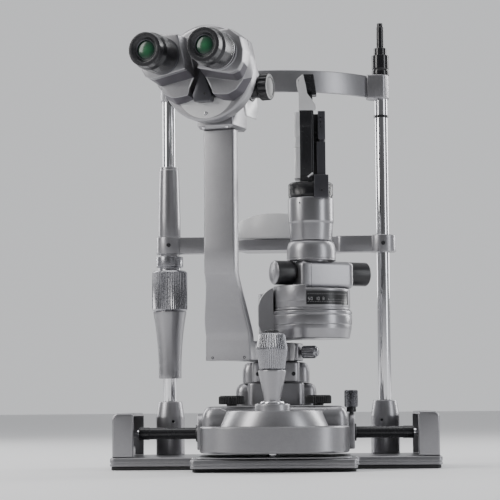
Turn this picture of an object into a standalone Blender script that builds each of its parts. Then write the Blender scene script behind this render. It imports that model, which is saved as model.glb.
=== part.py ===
"""Slit lamp for an optician's table: a rolling base under a joystick, a swinging
microscope, a swinging slit illuminator and a head frame on two posts.

Units are metres, +Z is up, the operator sits on the -Y side and the patient on +Y.
The origin is the middle of the base plate's outline, on the table.
"""

import math

import bmesh
import bpy
from mathutils import Vector

# ---- Driving dimensions -------------------------------------------------------------

GAP = 0.0003  # left between pieces that rest on or sit in one another
RUNNING = 0.0003  # radial play of a shaft in its hole

# Base plate: a wide rear part that carries the frame, and a narrower slide in front
PLATE_WIDTH = 0.382
PLATE_DEPTH = 0.147
SLIDE_WIDTH = 0.184
SLIDE_REACH = 0.098
PLATE_THICKNESS = 0.010
MAT_THICKNESS = 0.004
PLATE_CORNER = 0.006
MAT_INSET = 0.0015
MAT_SETBACK = 0.012  # of the mat's front edge under the slide
FRICTION_PLATE_THICKNESS = 0.002
FRICTION_PLATE_MARGIN = 0.006
FRICTION_PLATE_SETBACK = 0.002

# Rail covers and racks
COVER_WIDTH = 0.0245
COVER_WALL = 0.004
COVER_CLEARANCE = 0.00215  # over the pinion
COVER_LENGTH = 0.137
COVER_EDGE = 0.003  # from the plate's side edge
COVER_STEP = 0.0005  # of its front behind the wide part's front edge
RACK_WIDTH = 0.008
RACK_TEETH_BEHIND = 11  # the axle
RACK_SPARE_TEETH = 1.1  # room for as many left between the rack and its cover's front wall
TOOTH_MODULE = 0.0015
PINION_TEETH = 22
PINION_WIDTH = 0.010
TOOTH_BACKLASH = 0.0005

# Posts and head frame
POST_INSET = 0.061  # from the plate's side edge to the post's axis
POST_FROM_BACK = 0.025
POST_RADIUS = 0.008
POST_RECESS = 0.0005  # of its top below the band
SOCKET_RADIUS = 0.0173
SOCKET_NECK = 0.015
SOCKET_HEIGHT = 0.064
SOCKET_SHOULDER = 0.045
BAND_BOTTOM = 0.446
BAND_HEIGHT = 0.027
BAND_THICKNESS = 0.003
BAND_BULGE = 0.060  # of the band in front of the posts
BAND_BLOCK_INNER = 0.018
BAND_BLOCK_OUTER = 0.010
BAND_BLOCK_DEPTH = 0.026
PAD_THICKNESS = 0.006
PAD_ANGLE = 32.0
ROD_RADIUS = 0.0045
ROD_RISE = 0.066  # of its top above the band
ROD_COLLAR_RADIUS = 0.0105
ROD_COLLAR_HEIGHT = 0.0335

# Chin rest
CHIN_BAR_BOTTOM = 0.2575
CHIN_BAR_HEIGHT = 0.0205
CHIN_BAR_HALF_DEPTH = 0.009
CHIN_HUB_RADIUS = 0.016
CHIN_SETBACK = 0.025  # of the bar's middle behind the posts
CHIN_SHELF_HEIGHT = 0.014
CHIN_SHELF_HALF_WIDTH = 0.063
CHIN_CUP_RADIUS = 0.056
CHIN_CUP_HEIGHT = 0.031
CHIN_CUP_FLOOR = 0.005
CHIN_CUP_WALL = 0.004
LIFT_TUBE_RADIUS = 0.012
LIFT_TUBE_BOTTOM = 0.160
LIFT_SLEEVE_TOP = 0.364
NUT_RADIUS = 0.0215
NUT_BOTTOM = 0.1873
NUT_HEIGHT = 0.0497
NUT_COLLAR_HEIGHT = 0.017
SCREW_HOUSING_BOTTOM = 0.106
SCREW_HOUSING_TOP_RADIUS = 0.0204

# Rolling base
AXLE_FROM_POSTS = 0.084
AXLE_HEIGHT = 0.041
AXLE_TUBE_RADIUS = 0.0073
SHAFT_RADIUS = 0.0043
HOUSING_HALF_WIDTH = 0.084
HOUSING_BOTTOM = 0.0203
HOUSING_TOP = 0.072
HOUSING_SHOULDER = 0.054
HOUSING_FRONT = 0.154  # from the axle to the front
HOUSING_REAR = 0.020  # from the axle to the rear of the wide part
NECK_HALF_WIDTH = 0.056  # of the narrow part behind it, that carries the pivot
NECK_MARGIN = 0.028  # behind the pivot
HOUSING_WALL = 0.005
FLANGE_THICKNESS = 0.007
FLANGE_HALF_DEPTH = 0.017
FLANGE_BOTTOM = 0.022
FLANGE_TOP = 0.064
BASE_KNOB_RADIUS = 0.015
BASE_KNOB_HEIGHT = 0.010
BASE_KNOB_SPREAD = 0.0495
BASE_KNOB_FROM_AXLE = 0.046
LOCK_KNOB_RADIUS = 0.008
LOCK_KNOB_HEIGHT = 0.020
FOOT_RADIUS = 0.006

# Joystick
JOYSTICK_X = -0.001
JOYSTICK_FROM_AXLE = 0.130
GIMBAL_HEIGHT = 0.0755
GIMBAL_RADIUS = 0.0135
STEM_NARROW = 0.0085
STEM_WIDE = 0.0155
STEM_TOP = 0.112
GRIP_RADIUS = 0.0175
GRIP_LENGTH = 0.040
BUTTON_RADIUS = 0.009

# Pivot and elevation
PIVOT_FROM_AXLE = 0.024
COLUMN_RADIUS = 0.012
SPIGOT_RADIUS = 0.009
COLUMN_HOUSING_TOP = 0.0992
PIVOT_BLOCK_TOP = 0.1233
PIVOT_BLOCK_WIDTH = 0.079
PIVOT_BLOCK_DEPTH = 0.046
SPIGOT_TOP = 0.200

# Microscope
MICROSCOPE_SWING = -19.8  # degrees about the pivot, at rest
FOOT_HEIGHT = 0.0225
ARM_RADIUS = 0.165  # from the pivot to the middle of the upright
ARM_THICKNESS = 0.014
ARM_HALF_WIDTH = 0.0185
ARM_BOTTOM_RADIUS = 0.1035
ARM_BOTTOM_HALF_WIDTH = 0.028
ARM_BOTTOM_OFFSET = -0.0115  # of its middle, across the arm
ARM_BEND = 0.158  # height where the sweep outwards starts
ARM_LAMP_CLEARANCE = 0.0019  # as the two swing past each other
ARM_SWEEP_TOP = 0.219
ARM_TOP = 0.378
BRACKET_WIDTH = 0.043
BRACKET_DEPTH = 0.0435
OPTICAL_HEIGHT = 0.4365
BODY_RADIUS = 0.038
BODY_SEGMENTS = 36  # facets around; the bracket's saddle has the same
DRUM_HEAD_RADIUS = 0.0537  # of the wide rear end of the body
DRUM_HEAD_LENGTH = 0.018
BODY_FRONT = 0.132  # radii along the optical axis, from the pivot
BODY_REAR = 0.206
OBJECTIVE_FRONT = 0.110
OBJECTIVE_RADIUS = 0.024
POD_DEPTH = 0.040
POD_AXIS = 0.012  # from the mid plane to a pod's own axis
EYEPIECE_SPREAD = 0.0337
EYEPIECE_RISE = 0.0137
EYEPIECE_RADIUS = 0.0205
EYEPIECE_LENGTH = 0.0467
EYE_LENS_RADIUS = 0.010
MAGNIFIER_RISE = -0.0135
MAGNIFIER_RADIUS = 0.015
MAGNIFIER_REACH = 0.060

# Illuminator
ILLUMINATOR_SWING = 45.0
LAMP_COLUMN_CLEARANCE = 0.0054
HUB_RADIUS = 0.020
LAMP_BOTTOM = 0.149
LAMP_RADIUS = 0.0466
LAMP_SEGMENTS = 40  # facets around; the hub's saddle has the same
LAMP_HEIGHT = 0.032
DRUM_RADIUS = 0.0445
DRUM_HEIGHT = 0.0247
KNOB_BOX_HALF_LENGTH = 0.034
KNOB_BOX_HALF_DEPTH = 0.024
KNOB_BOX_HEIGHT = 0.032
KNOB_BOX_OFFSET = 0.0105  # of its middle from the tower's axis, along the knobs' shaft
KNOB_BOX_YAW = 26.0  # degrees, its left end towards the operator
KNOB_AXIS_RISE = 0.019  # of the shaft above the box's floor
DOME_HEIGHT = 0.024
DOME_RADIUS = 0.0285
SLIT_KNOB_RADIUS = 0.014
SLIT_KNOB_LENGTH = 0.026
SLIT_SHAFT_RADIUS = 0.005
DOME_NECK_RADIUS = 0.020
TUBE_RADIUS = 0.0266
TUBE_HEIGHT = 0.0500
RING_RADIUS = 0.026
RING_HEIGHT = 0.018
TOWER_WIDTH = 0.037
TOWER_DEPTH = 0.030
TOWER_TOP = 0.4143
PRISM_TOP = 0.457

# ---- Derived places -----------------------------------------------------------------

BACK_Y = (PLATE_DEPTH + SLIDE_REACH) / 2
WIDE_FRONT_Y = BACK_Y - PLATE_DEPTH
PLATE_TOP = MAT_THICKNESS + PLATE_THICKNESS
HALF_PLATE = PLATE_WIDTH / 2
POST_X = HALF_PLATE - POST_INSET
POST_Y = BACK_Y - POST_FROM_BACK
AXLE_Y = POST_Y - AXLE_FROM_POSTS
PIVOT_Y = AXLE_Y + PIVOT_FROM_AXLE
JOYSTICK_Y = AXLE_Y - JOYSTICK_FROM_AXLE
COVER_OUTER_X = HALF_PLATE - COVER_EDGE
COVER_INNER_X = COVER_OUTER_X - COVER_WIDTH
RAIL_X = (COVER_INNER_X + COVER_OUTER_X - COVER_WALL) / 2
PINION_RADIUS = TOOTH_MODULE * PINION_TEETH / 2
PINION_TIP_RADIUS = PINION_RADIUS + 0.9 * TOOTH_MODULE
RACK_PITCH = math.pi * TOOTH_MODULE
RACK_PITCH_HEIGHT = AXLE_HEIGHT - PINION_RADIUS
COVER_FRONT_Y = WIDE_FRONT_Y + COVER_STEP
RACK_TEETH_AHEAD = int((AXLE_Y - COVER_FRONT_Y - COVER_WALL) / RACK_PITCH - RACK_SPARE_TEETH)
COVER_TOP = AXLE_HEIGHT + PINION_TIP_RADIUS + COVER_CLEARANCE + COVER_WALL
BLOCK_BOTTOM = HOUSING_TOP + GAP
CHIN_BAR_TOP = CHIN_BAR_BOTTOM + CHIN_BAR_HEIGHT
BAND_TOP = BAND_BOTTOM + BAND_HEIGHT
POST_TOP = BAND_TOP - POST_RECESS
ROD_TOP = BAND_TOP + ROD_RISE
TOWER_RADIUS = SPIGOT_RADIUS + LAMP_RADIUS + LAMP_COLUMN_CLEARANCE  # of its axis, from the pivot
ARM_BEND_RADIUS = TOWER_RADIUS + LAMP_RADIUS + ARM_LAMP_CLEARANCE

# ---- Finishes: colour, metallic, roughness ------------------------------------------

FINISHES = {
    "satin_silver": ((0.62, 0.61, 0.62), 0.9, 0.38),
    "polished_steel": ((0.80, 0.80, 0.82), 1.0, 0.12),
    "knurled_steel": ((0.50, 0.50, 0.52), 1.0, 0.35),
    "black_metal": ((0.02, 0.02, 0.022), 0.4, 0.35),
    "black_plastic": ((0.015, 0.015, 0.016), 0.0, 0.30),
    "rubber": ((0.02, 0.02, 0.02), 0.0, 0.75),
    "light_plastic": ((0.60, 0.60, 0.61), 0.0, 0.40),
    "coated_glass": ((0.05, 0.20, 0.12), 0.0, 0.05),
    "soft_pad": ((0.05, 0.05, 0.055), 0.0, 0.80),
}


def finish(name):
    material = bpy.data.materials.get(name)
    if material is None:
        colour, metallic, roughness = FINISHES[name]
        material = bpy.data.materials.new(name)
        material.use_nodes = True
        shader = material.node_tree.nodes["Principled BSDF"]
        shader.inputs["Base Color"].default_value = (*colour, 1.0)
        shader.inputs["Metallic"].default_value = metallic
        shader.inputs["Roughness"].default_value = roughness
    return material


# ---- Tools for making solids --------------------------------------------------------


def frame(name, at, swing=0.0):
    """An empty on a joint's axis, that carries the pieces modelled in its own frame."""
    empty = bpy.data.objects.new(name, None)
    empty.location = at
    empty.rotation_euler = (0, 0, math.radians(swing))
    bpy.context.scene.collection.objects.link(empty)
    return empty


def solid(name, mesh_edit, look, under=None, at=(0, 0, 0), turn=(0, 0, 0)):
    """An object from an edited mesh, in its finish, placed in a frame."""
    bmesh.ops.recalc_face_normals(mesh_edit, faces=mesh_edit.faces)
    mesh = bpy.data.meshes.new(name)
    mesh_edit.to_mesh(mesh)
    mesh_edit.free()
    mesh.materials.append(finish(look))
    mesh.shade_smooth()
    mesh.set_sharp_from_angle(angle=math.radians(35))
    piece = bpy.data.objects.new(name, mesh)
    piece.location = at
    piece.rotation_euler = [math.radians(a) for a in turn]
    piece.parent = under
    bpy.context.scene.collection.objects.link(piece)
    return piece


def boolean(piece, operation, tools, solver):
    """Adds or takes away other solids, which stay in the file as hidden tools."""
    for tool in tools:
        step = piece.modifiers.new(tool.name, "BOOLEAN")
        step.operation = operation
        step.solver = solver
        step.object = tool
        tool.hide_render = True
        tool.display_type = "WIRE"
    return piece


def join(piece, *tools, solver="EXACT"):
    return boolean(piece, "UNION", tools, solver)


def cut(piece, *tools, solver="EXACT"):
    return boolean(piece, "DIFFERENCE", tools, solver)


def turned(name, profile, look, segments=24, **place):
    """A solid turned about Z from (radius, height) points, which end on the axis or,
    where the piece has a bore, close on themselves."""
    edit = bmesh.new()
    rings = []
    for radius, height in profile:
        count = segments if radius > 0 else 1
        angles = [math.tau * k / segments for k in range(count)]
        rings.append(
            [edit.verts.new((radius * math.cos(a), radius * math.sin(a), height)) for a in angles]
        )
    pairs = list(zip(rings, rings[1:]))
    if profile[0][0] > 0:
        pairs.append((rings[-1], rings[0]))
    for low, high in pairs:
        for k in range(segments):
            corners = []
            for ring, step in ((low, k), (low, k + 1), (high, k + 1), (high, k)):
                corner = ring[step % len(ring)]
                if corner not in corners:
                    corners.append(corner)
            if len(corners) > 2:
                edit.faces.new(corners)
    return solid(name, edit, look, **place)


def rod(name, radius, low, high, look="polished_steel", segments=20, **place):
    return turned(name, [(0, high), (radius, high), (radius, low), (0, low)], look, segments, **place)


def stacked(name, rings, look, **place):
    """A solid through closed rings of points, each ring a flat section of it."""
    edit = bmesh.new()
    rows = [[edit.verts.new(point) for point in ring] for ring in rings]
    edit.faces.new(rows[0])
    edit.faces.new(rows[-1])
    for low, high in zip(rows, rows[1:]):
        for k in range(len(low)):
            n = (k + 1) % len(low)
            edit.faces.new((low[k], low[n], high[n], high[k]))
    return solid(name, edit, look, **place)


def plate(name, outline, low, high, look, edge=0.0, edge_steps=1, **place):
    """A flat outline raised from one height to another, its top rim rounded by edge."""
    levels = [(low, 0.0)]
    if edge:
        for k in range(edge_steps + 1):
            a = math.radians(90 * k / edge_steps)
            levels.append((high - edge + edge * math.sin(a), edge * (1 - math.cos(a))))
    else:
        levels.append((high, 0.0))
    rings = []
    for height, inset in levels:
        rings.append([(x, y, height) for x, y in shrunk(outline, inset)])
    return stacked(name, rings, look, **place)


def shrunk(outline, inset):
    """The outline with each side moved inwards by inset; it runs anticlockwise."""
    if not inset:
        return outline
    moved = []
    for k, here in enumerate(outline):
        here = Vector(here)
        along_in = (here - Vector(outline[k - 1])).normalized()
        along_out = (Vector(outline[(k + 1) % len(outline)]) - here).normalized()
        middle = Vector((-along_in.y - along_out.y, along_in.x + along_out.x)).normalized()
        spread = max(0.5, middle.dot(Vector((-along_in.y, along_in.x))))
        moved.append(tuple(here + middle * inset / spread))
    return moved


def rounded(corners, radius, steps=4):
    """The outline with each corner turned into an arc of the given radius."""
    outline = []
    for k, here in enumerate(corners):
        here = Vector(here)
        back = (Vector(corners[k - 1]) - here).normalized()
        ahead = (Vector(corners[(k + 1) % len(corners)]) - here).normalized()
        half = back.angle(ahead) / 2
        centre = here + (back + ahead).normalized() * radius / math.sin(half)
        start = here + back * radius / math.tan(half) - centre
        end = here + ahead * radius / math.tan(half) - centre
        first = math.atan2(start.y, start.x)
        sweep = math.remainder(math.atan2(end.y, end.x) - first, math.tau)
        for n in range(steps + 1):
            a = first + sweep * n / steps
            outline.append((centre.x + radius * math.cos(a), centre.y + radius * math.sin(a)))
    return outline


def rectangle(x_low, x_high, y_low, y_high):
    return [(x_low, y_low), (x_high, y_low), (x_high, y_high), (x_low, y_high)]


def block(name, x, y, z, look, radius=0.0, edge=0.0, steps=3, **place):
    """A box given by its (low, high) along each axis, with rounded upright edges."""
    outline = rectangle(*x, *y)
    if radius:
        outline = rounded(outline, radius, steps)
    return plate(name, outline, z[0], z[1], look, edge, 2, **place)


def arc(radius, first, last, steps, centre=(0, 0)):
    points = []
    for k in range(steps + 1):
        a = math.radians(first + (last - first) * k / steps)
        points.append((centre[0] + radius * math.cos(a), centre[1] + radius * math.sin(a)))
    return points


SIDES = (("left", -1), ("right", 1))

# ---- Base plate and rails -----------------------------------------------------------


def plate_outline(inset, front):
    """The T outline of the base, seen from above."""
    wide = HALF_PLATE - inset
    slide = SLIDE_WIDTH / 2 - inset
    rear = BACK_Y - inset
    step = WIDE_FRONT_Y + inset
    corners = [
        (-slide, front),
        (slide, front),
        (slide, step),
        (wide, step),
        (wide, rear),
        (-wide, rear),
        (-wide, step),
        (-slide, step),
    ]
    return rounded(corners, PLATE_CORNER, 3)


def make_plate():
    mat_outline = plate_outline(MAT_INSET, WIDE_FRONT_Y - SLIDE_REACH + MAT_SETBACK)
    plate("base_mat", mat_outline, 0, MAT_THICKNESS - GAP, "rubber")
    outline = plate_outline(0, WIDE_FRONT_Y - SLIDE_REACH)
    plate("base_plate", outline, MAT_THICKNESS, PLATE_TOP, "satin_silver", 0.0012)
    half = SLIDE_WIDTH / 2 - FRICTION_PLATE_MARGIN
    block(
        "friction_plate",
        (-half, half),
        (WIDE_FRONT_Y - SLIDE_REACH + FRICTION_PLATE_SETBACK, AXLE_Y),
        (PLATE_TOP + GAP, PLATE_TOP + GAP + FRICTION_PLATE_THICKNESS),
        "knurled_steel",
        0.008,
    )


def rack_outline():
    """Straight teeth along +X of the outline, with a gap between teeth at x = 0."""
    lean = math.tan(math.radians(20))
    half_tooth = RACK_PITCH / 4 - TOOTH_BACKLASH / 2
    tip = 0.9 * TOOTH_MODULE
    root = -1.25 * TOOTH_MODULE
    points = []
    for k in range(-RACK_TEETH_AHEAD, RACK_TEETH_BEHIND):
        middle = (k + 0.5) * RACK_PITCH
        points += [
            (middle - half_tooth + root * lean, root),
            (middle - half_tooth + tip * lean, tip),
            (middle + half_tooth - tip * lean, tip),
            (middle + half_tooth - root * lean, root),
        ]
    floor = PLATE_TOP + GAP - RACK_PITCH_HEIGHT
    rear = points[-1][0] + RACK_PITCH / 2
    front = points[0][0] - RACK_PITCH / 2
    return [(front, root)] + points + [(rear, root), (rear, floor), (front, floor)]


def pinion_outline():
    """Spur gear outline; one tooth points along -Y of the outline."""
    tip = PINION_TIP_RADIUS
    root = PINION_RADIUS - 1.25 * TOOTH_MODULE
    base = PINION_RADIUS * math.cos(math.radians(20))
    pressure = math.tan(math.radians(20)) - math.radians(20)
    half_pitch = (RACK_PITCH / 2 - TOOTH_BACKLASH) / 2 / PINION_RADIUS
    flank = []
    for radius in (base, PINION_RADIUS, tip):
        roll = math.acos(min(1, base / radius))
        flank.append((radius, half_pitch + pressure - (math.tan(roll) - roll)))
    half_tooth = [(root, flank[0][1] + 0.02)] + flank[1:]
    points = []
    for k in range(PINION_TEETH):
        middle = -math.pi / 2 + math.tau * k / PINION_TEETH
        polar = [(r, middle - a) for r, a in half_tooth]
        polar += [(r, middle + a) for r, a in reversed(half_tooth)]
        points += [(r * math.cos(a), r * math.sin(a)) for r, a in polar]
    return points


def make_rails():
    cover_rear = COVER_FRONT_Y + COVER_LENGTH
    for side, sign in SIDES:
        xs = sorted((sign * COVER_INNER_X, sign * COVER_OUTER_X))
        inside = sorted((sign * (COVER_INNER_X - 0.01), sign * (COVER_OUTER_X - COVER_WALL)))
        cover = block(
            f"rail_cover_{side}",
            xs,
            (COVER_FRONT_Y, cover_rear),
            (PLATE_TOP + GAP, COVER_TOP),
            "satin_silver",
            0.003,
            0.004,
        )
        space = block(
            f"rail_cover_space_{side}",
            inside,
            (COVER_FRONT_Y + COVER_WALL, cover_rear - COVER_WALL),
            (PLATE_TOP - 0.01, COVER_TOP - COVER_WALL),
            "black_metal",
        )
        cut(cover, space)
        plate(
            f"rack_{side}",
            rack_outline(),
            -RACK_WIDTH / 2,
            RACK_WIDTH / 2,
            "knurled_steel",
            at=(sign * RAIL_X, AXLE_Y, RACK_PITCH_HEIGHT),
            turn=(90, 0, 90),
        )


# ---- Posts and head frame -----------------------------------------------------------


def make_posts():
    bore = POST_RADIUS + RUNNING
    floor = PLATE_TOP + GAP + 0.006
    low = PLATE_TOP + GAP
    for side, sign in SIDES:
        place = (sign * POST_X, POST_Y, 0)
        profile = [
            (0, floor),
            (bore, floor),
            (bore, low + SOCKET_HEIGHT),
            (SOCKET_NECK, low + SOCKET_HEIGHT),
            (SOCKET_RADIUS, low + SOCKET_SHOULDER),
            (SOCKET_RADIUS, low),
            (0, low),
        ]
        turned(f"post_socket_{side}", profile, "satin_silver", at=place)
        rod(f"post_{side}", POST_RADIUS, floor + GAP, POST_TOP, at=place)


def band_circle():
    """Radius and centre of the band's outer face, seen from above."""
    half_chord = POST_X - BAND_BLOCK_INNER / 2
    radius = (half_chord**2 + BAND_BULGE**2) / (2 * BAND_BULGE)
    centre_y = POST_Y - BAND_BULGE + radius
    half_angle = math.degrees(math.asin(half_chord / radius))
    return radius, centre_y, half_angle


def make_head_frame():
    radius, centre_y, half_angle = band_circle()
    first, last = -90 - half_angle, -90 + half_angle
    outline = arc(radius, first, last, 24, (0, centre_y))
    outline += arc(radius - BAND_THICKNESS, last, first, 24, (0, centre_y))
    band = plate("headband_frame", outline, BAND_BOTTOM, BAND_TOP, "satin_silver")
    blocks = []
    bores = []
    for side, sign in SIDES:
        xs = sorted((sign * (POST_X - BAND_BLOCK_INNER), sign * (POST_X + BAND_BLOCK_OUTER)))
        half = BAND_BLOCK_DEPTH / 2
        blocks.append(
            block(
                f"headband_block_{side}",
                xs,
                (POST_Y - half, POST_Y + half),
                (BAND_BOTTOM - 0.001, BAND_TOP + 0.001),
                "satin_silver",
                0.004,
            )
        )
        bores.append(
            rod(
                f"headband_bore_{side}",
                POST_RADIUS + RUNNING,
                BAND_BOTTOM - 0.01,
                POST_TOP + GAP,
                at=(sign * POST_X, POST_Y, 0),
            )
        )
    join(band, *blocks)
    cut(band, *bores)
    pad_outer = radius - BAND_THICKNESS - GAP
    first, last = -90 - PAD_ANGLE / 2, -90 + PAD_ANGLE / 2
    outline = arc(pad_outer, first, last, 12, (0, centre_y))
    outline += arc(pad_outer - PAD_THICKNESS, last, first, 12, (0, centre_y))
    plate("forehead_pad", outline, BAND_BOTTOM + 0.002, BAND_TOP - 0.002, "soft_pad")


def make_fixation():
    low = BAND_TOP + 0.001 + GAP
    bore = ROD_RADIUS + RUNNING
    step = 0.0245
    place = (POST_X, POST_Y, 0)
    profile = [
        (0, low + 0.005),
        (bore, low + 0.005),
        (bore, low + ROD_COLLAR_HEIGHT),
        (0.008, low + ROD_COLLAR_HEIGHT),
        (0.008, low + step),
        (ROD_COLLAR_RADIUS, low + step),
        (ROD_COLLAR_RADIUS, low),
        (0, low),
    ]
    turned("fixation_collar", profile, "black_metal", at=place)
    rod("fixation_rod", ROD_RADIUS, low + 0.005 + GAP, ROD_TOP, "black_metal", at=place)


# ---- Chin rest ----------------------------------------------------------------------


def make_chin_lift():
    left = (-POST_X, POST_Y, 0)
    post_bore = POST_RADIUS + RUNNING
    tube_bore = LIFT_TUBE_RADIUS + RUNNING
    housing_top = NUT_BOTTOM - GAP
    taper = [(0.01365, 0.0), (0.0140, 0.30), (0.0152, 0.62), (0.0175, 0.85), (SCREW_HOUSING_TOP_RADIUS, 1.0)]
    height = housing_top - SCREW_HOUSING_BOTTOM
    profile = [(post_bore, LIFT_TUBE_BOTTOM - 0.010), (tube_bore, LIFT_TUBE_BOTTOM - 0.010)]
    profile += [(tube_bore, housing_top)]
    profile += [(r, SCREW_HOUSING_BOTTOM + t * height) for r, t in reversed(taper)]
    profile += [(post_bore, SCREW_HOUSING_BOTTOM)]
    turned("chin_screw_housing", profile, "satin_silver", at=left)

    top = NUT_BOTTOM + NUT_HEIGHT
    collar = top + NUT_COLLAR_HEIGHT
    profile = [
        (tube_bore, NUT_BOTTOM),
        (tube_bore, collar),
        (0.0167, collar),
        (0.0167, top + 0.004),
        (0.014, top + 0.004),
        (0.014, top),
        (NUT_RADIUS - 0.001, top),
        (NUT_RADIUS, top - 0.001),
        (NUT_RADIUS, NUT_BOTTOM + 0.001),
        (NUT_RADIUS - 0.001, NUT_BOTTOM),
    ]
    turned("chin_height_nut", profile, "knurled_steel", at=left)

    shoulder = CHIN_BAR_TOP + GAP
    profile = [
        (post_bore, LIFT_TUBE_BOTTOM),
        (post_bore, LIFT_SLEEVE_TOP),
        (0.01185, LIFT_SLEEVE_TOP),
        (LIFT_TUBE_RADIUS + 0.0015, shoulder),
        (LIFT_TUBE_RADIUS, shoulder),
        (LIFT_TUBE_RADIUS, LIFT_TUBE_BOTTOM),
    ]
    turned("chin_lift_sleeve", profile, "satin_silver", at=left)


def make_chin_bar():
    half = CHIN_BAR_HALF_DEPTH
    rear = CHIN_SETBACK + half
    front = CHIN_SETBACK - half
    inner = CHIN_SHELF_HALF_WIDTH
    left_arm = [
        (-POST_X, -half),
        (-inner - 0.014, -half),
        (-inner + 0.006, front + 0.001),
        (-inner + 0.006, rear - 0.001),
        (-inner - 0.022, half),
        (-POST_X, half),
    ]
    right_arm = [(-x, y) for x, y in reversed(left_arm)]
    shelf = [
        (-inner, front),
        (-0.040, front - 0.006),
        (0.040, front - 0.006),
        (inner, front),
        (inner, rear),
        (0.045, rear),
        (0.038, rear + 0.028),
        (-0.038, rear + 0.028),
        (-0.045, rear),
        (-inner, rear),
    ]
    at = (0, POST_Y, 0)
    arm_top = CHIN_BAR_TOP - 0.0004
    bar = plate("chin_bar", left_arm, CHIN_BAR_BOTTOM, arm_top, "satin_silver", at=at)
    shelf_low = CHIN_BAR_BOTTOM + 0.0045
    tools = [
        plate("chin_bar_right_arm", right_arm, CHIN_BAR_BOTTOM, arm_top, "satin_silver", at=at),
        plate("chin_shelf", shelf, shelf_low, shelf_low + CHIN_SHELF_HEIGHT, "satin_silver", at=at),
    ]
    bores = []
    for side, sign in SIDES:
        place = (sign * POST_X, POST_Y, 0)
        inside = LIFT_TUBE_RADIUS if sign < 0 else POST_RADIUS
        low, high = CHIN_BAR_BOTTOM - 0.0004, CHIN_BAR_TOP
        tools.append(rod(f"chin_hub_{side}", CHIN_HUB_RADIUS, low, high, at=place))
        low, high = CHIN_BAR_BOTTOM - 0.01, CHIN_BAR_TOP + 0.01
        bores.append(rod(f"chin_hub_bore_{side}", inside + RUNNING, low, high, at=place))
    join(bar, *tools)
    cut(bar, *bores, solver="MANIFOLD")  # EXACT leaves the left bore open


def make_chin_cup():
    """A shallow cup: a floor with a curved wall that is tallest on the operator's side."""
    floor = CHIN_BAR_BOTTOM + 0.0045 + CHIN_SHELF_HEIGHT + GAP
    centre_y = CHIN_SETBACK + 0.034
    outline = arc(CHIN_CUP_RADIUS, -168, -12, 20)
    outline += arc(CHIN_CUP_RADIUS * 0.62, 20, 160, 8)
    at = (0, POST_Y + centre_y, 0)
    cup = plate("chin_cup", outline, floor, floor + CHIN_CUP_FLOOR, "light_plastic", at=at)
    edit = bmesh.new()
    rows = []
    steps = 20
    for k in range(steps + 1):
        a = math.radians(-165 + 150 * k / steps)
        share = math.cos(math.radians(-90 + 180 * k / steps)) ** 0.75 if 0 < k < steps else 0
        height = floor + CHIN_CUP_FLOOR + 0.002 + (CHIN_CUP_HEIGHT - CHIN_CUP_FLOOR - 0.002) * share
        row = []
        for radius, z in (
            (CHIN_CUP_RADIUS, floor + 0.001),
            (CHIN_CUP_RADIUS, height),
            (CHIN_CUP_RADIUS - CHIN_CUP_WALL, height),
            (CHIN_CUP_RADIUS - CHIN_CUP_WALL, floor + 0.001),
        ):
            row.append(edit.verts.new((radius * math.cos(a), radius * math.sin(a), z)))
        rows.append(row)
    edit.faces.new(rows[0])
    edit.faces.new(rows[-1])
    for row, after in zip(rows, rows[1:]):
        for n in range(4):
            m = (n + 1) % 4
            edit.faces.new((row[n], row[m], after[m], after[n]))
    join(cup, solid("chin_cup_wall", edit, "light_plastic", at=at))


# ---- Axle and rolling base ----------------------------------------------------------


def make_axle():
    axle = frame("axle_frame", (0, AXLE_Y, AXLE_HEIGHT))
    along_x = (0, 90, 0)
    tube_end = COVER_INNER_X - 0.0035
    bore = SHAFT_RADIUS + RUNNING
    profile = [
        (bore, -tube_end),
        (bore, tube_end),
        (AXLE_TUBE_RADIUS, tube_end),
        (AXLE_TUBE_RADIUS, -tube_end),
    ]
    turned("axle_tube", profile, "black_metal", under=axle, turn=along_x)
    shaft_end = COVER_OUTER_X - COVER_WALL - 0.003
    rod("pinion_shaft", SHAFT_RADIUS, -shaft_end, shaft_end, under=axle, turn=along_x)
    for side, sign in SIDES:
        pinion = plate(
            f"pinion_{side}",
            pinion_outline(),
            -PINION_WIDTH / 2,
            PINION_WIDTH / 2,
            "knurled_steel",
            under=axle,
            at=(sign * RAIL_X, 0, 0),
            turn=(90, 0, 90),
        )
        hole = rod(
            f"pinion_bore_{side}",
            bore,
            -PINION_WIDTH,
            PINION_WIDTH,
            under=axle,
            at=(sign * RAIL_X, 0, 0),
            turn=along_x,
        )
        cut(pinion, hole)


def housing_outline(inset):
    """Plan of the base housing about the axle: an oval bow in front, square sides, and
    a narrower neck behind that reaches under the pivot."""
    half = HOUSING_HALF_WIDTH - inset
    rear = HOUSING_REAR - inset
    neck = NECK_HALF_WIDTH - inset
    neck_rear = PIVOT_FROM_AXLE + NECK_MARGIN - inset
    shoulder_y = -0.085
    bow = HOUSING_FRONT + shoulder_y - inset
    points = []
    for k in range(17):
        a = math.radians(180 + 180 * k / 16)
        x = math.copysign(abs(math.cos(a)) ** 0.72, math.cos(a)) * half
        y = shoulder_y + math.copysign(abs(math.sin(a)) ** 0.80, math.sin(a)) * bow
        points.append((x, y))
    corner = 0.012
    inner = 0.006
    right = arc(corner, 0, 90, 2, (half - corner, rear - corner))
    right += arc(inner + inset, 270, 180, 2, (NECK_HALF_WIDTH + inner, HOUSING_REAR + inner))
    right += arc(corner, 0, 90, 2, (neck - corner, neck_rear - corner))
    return points + right + [(-x, y) for x, y in reversed(right)]


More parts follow.
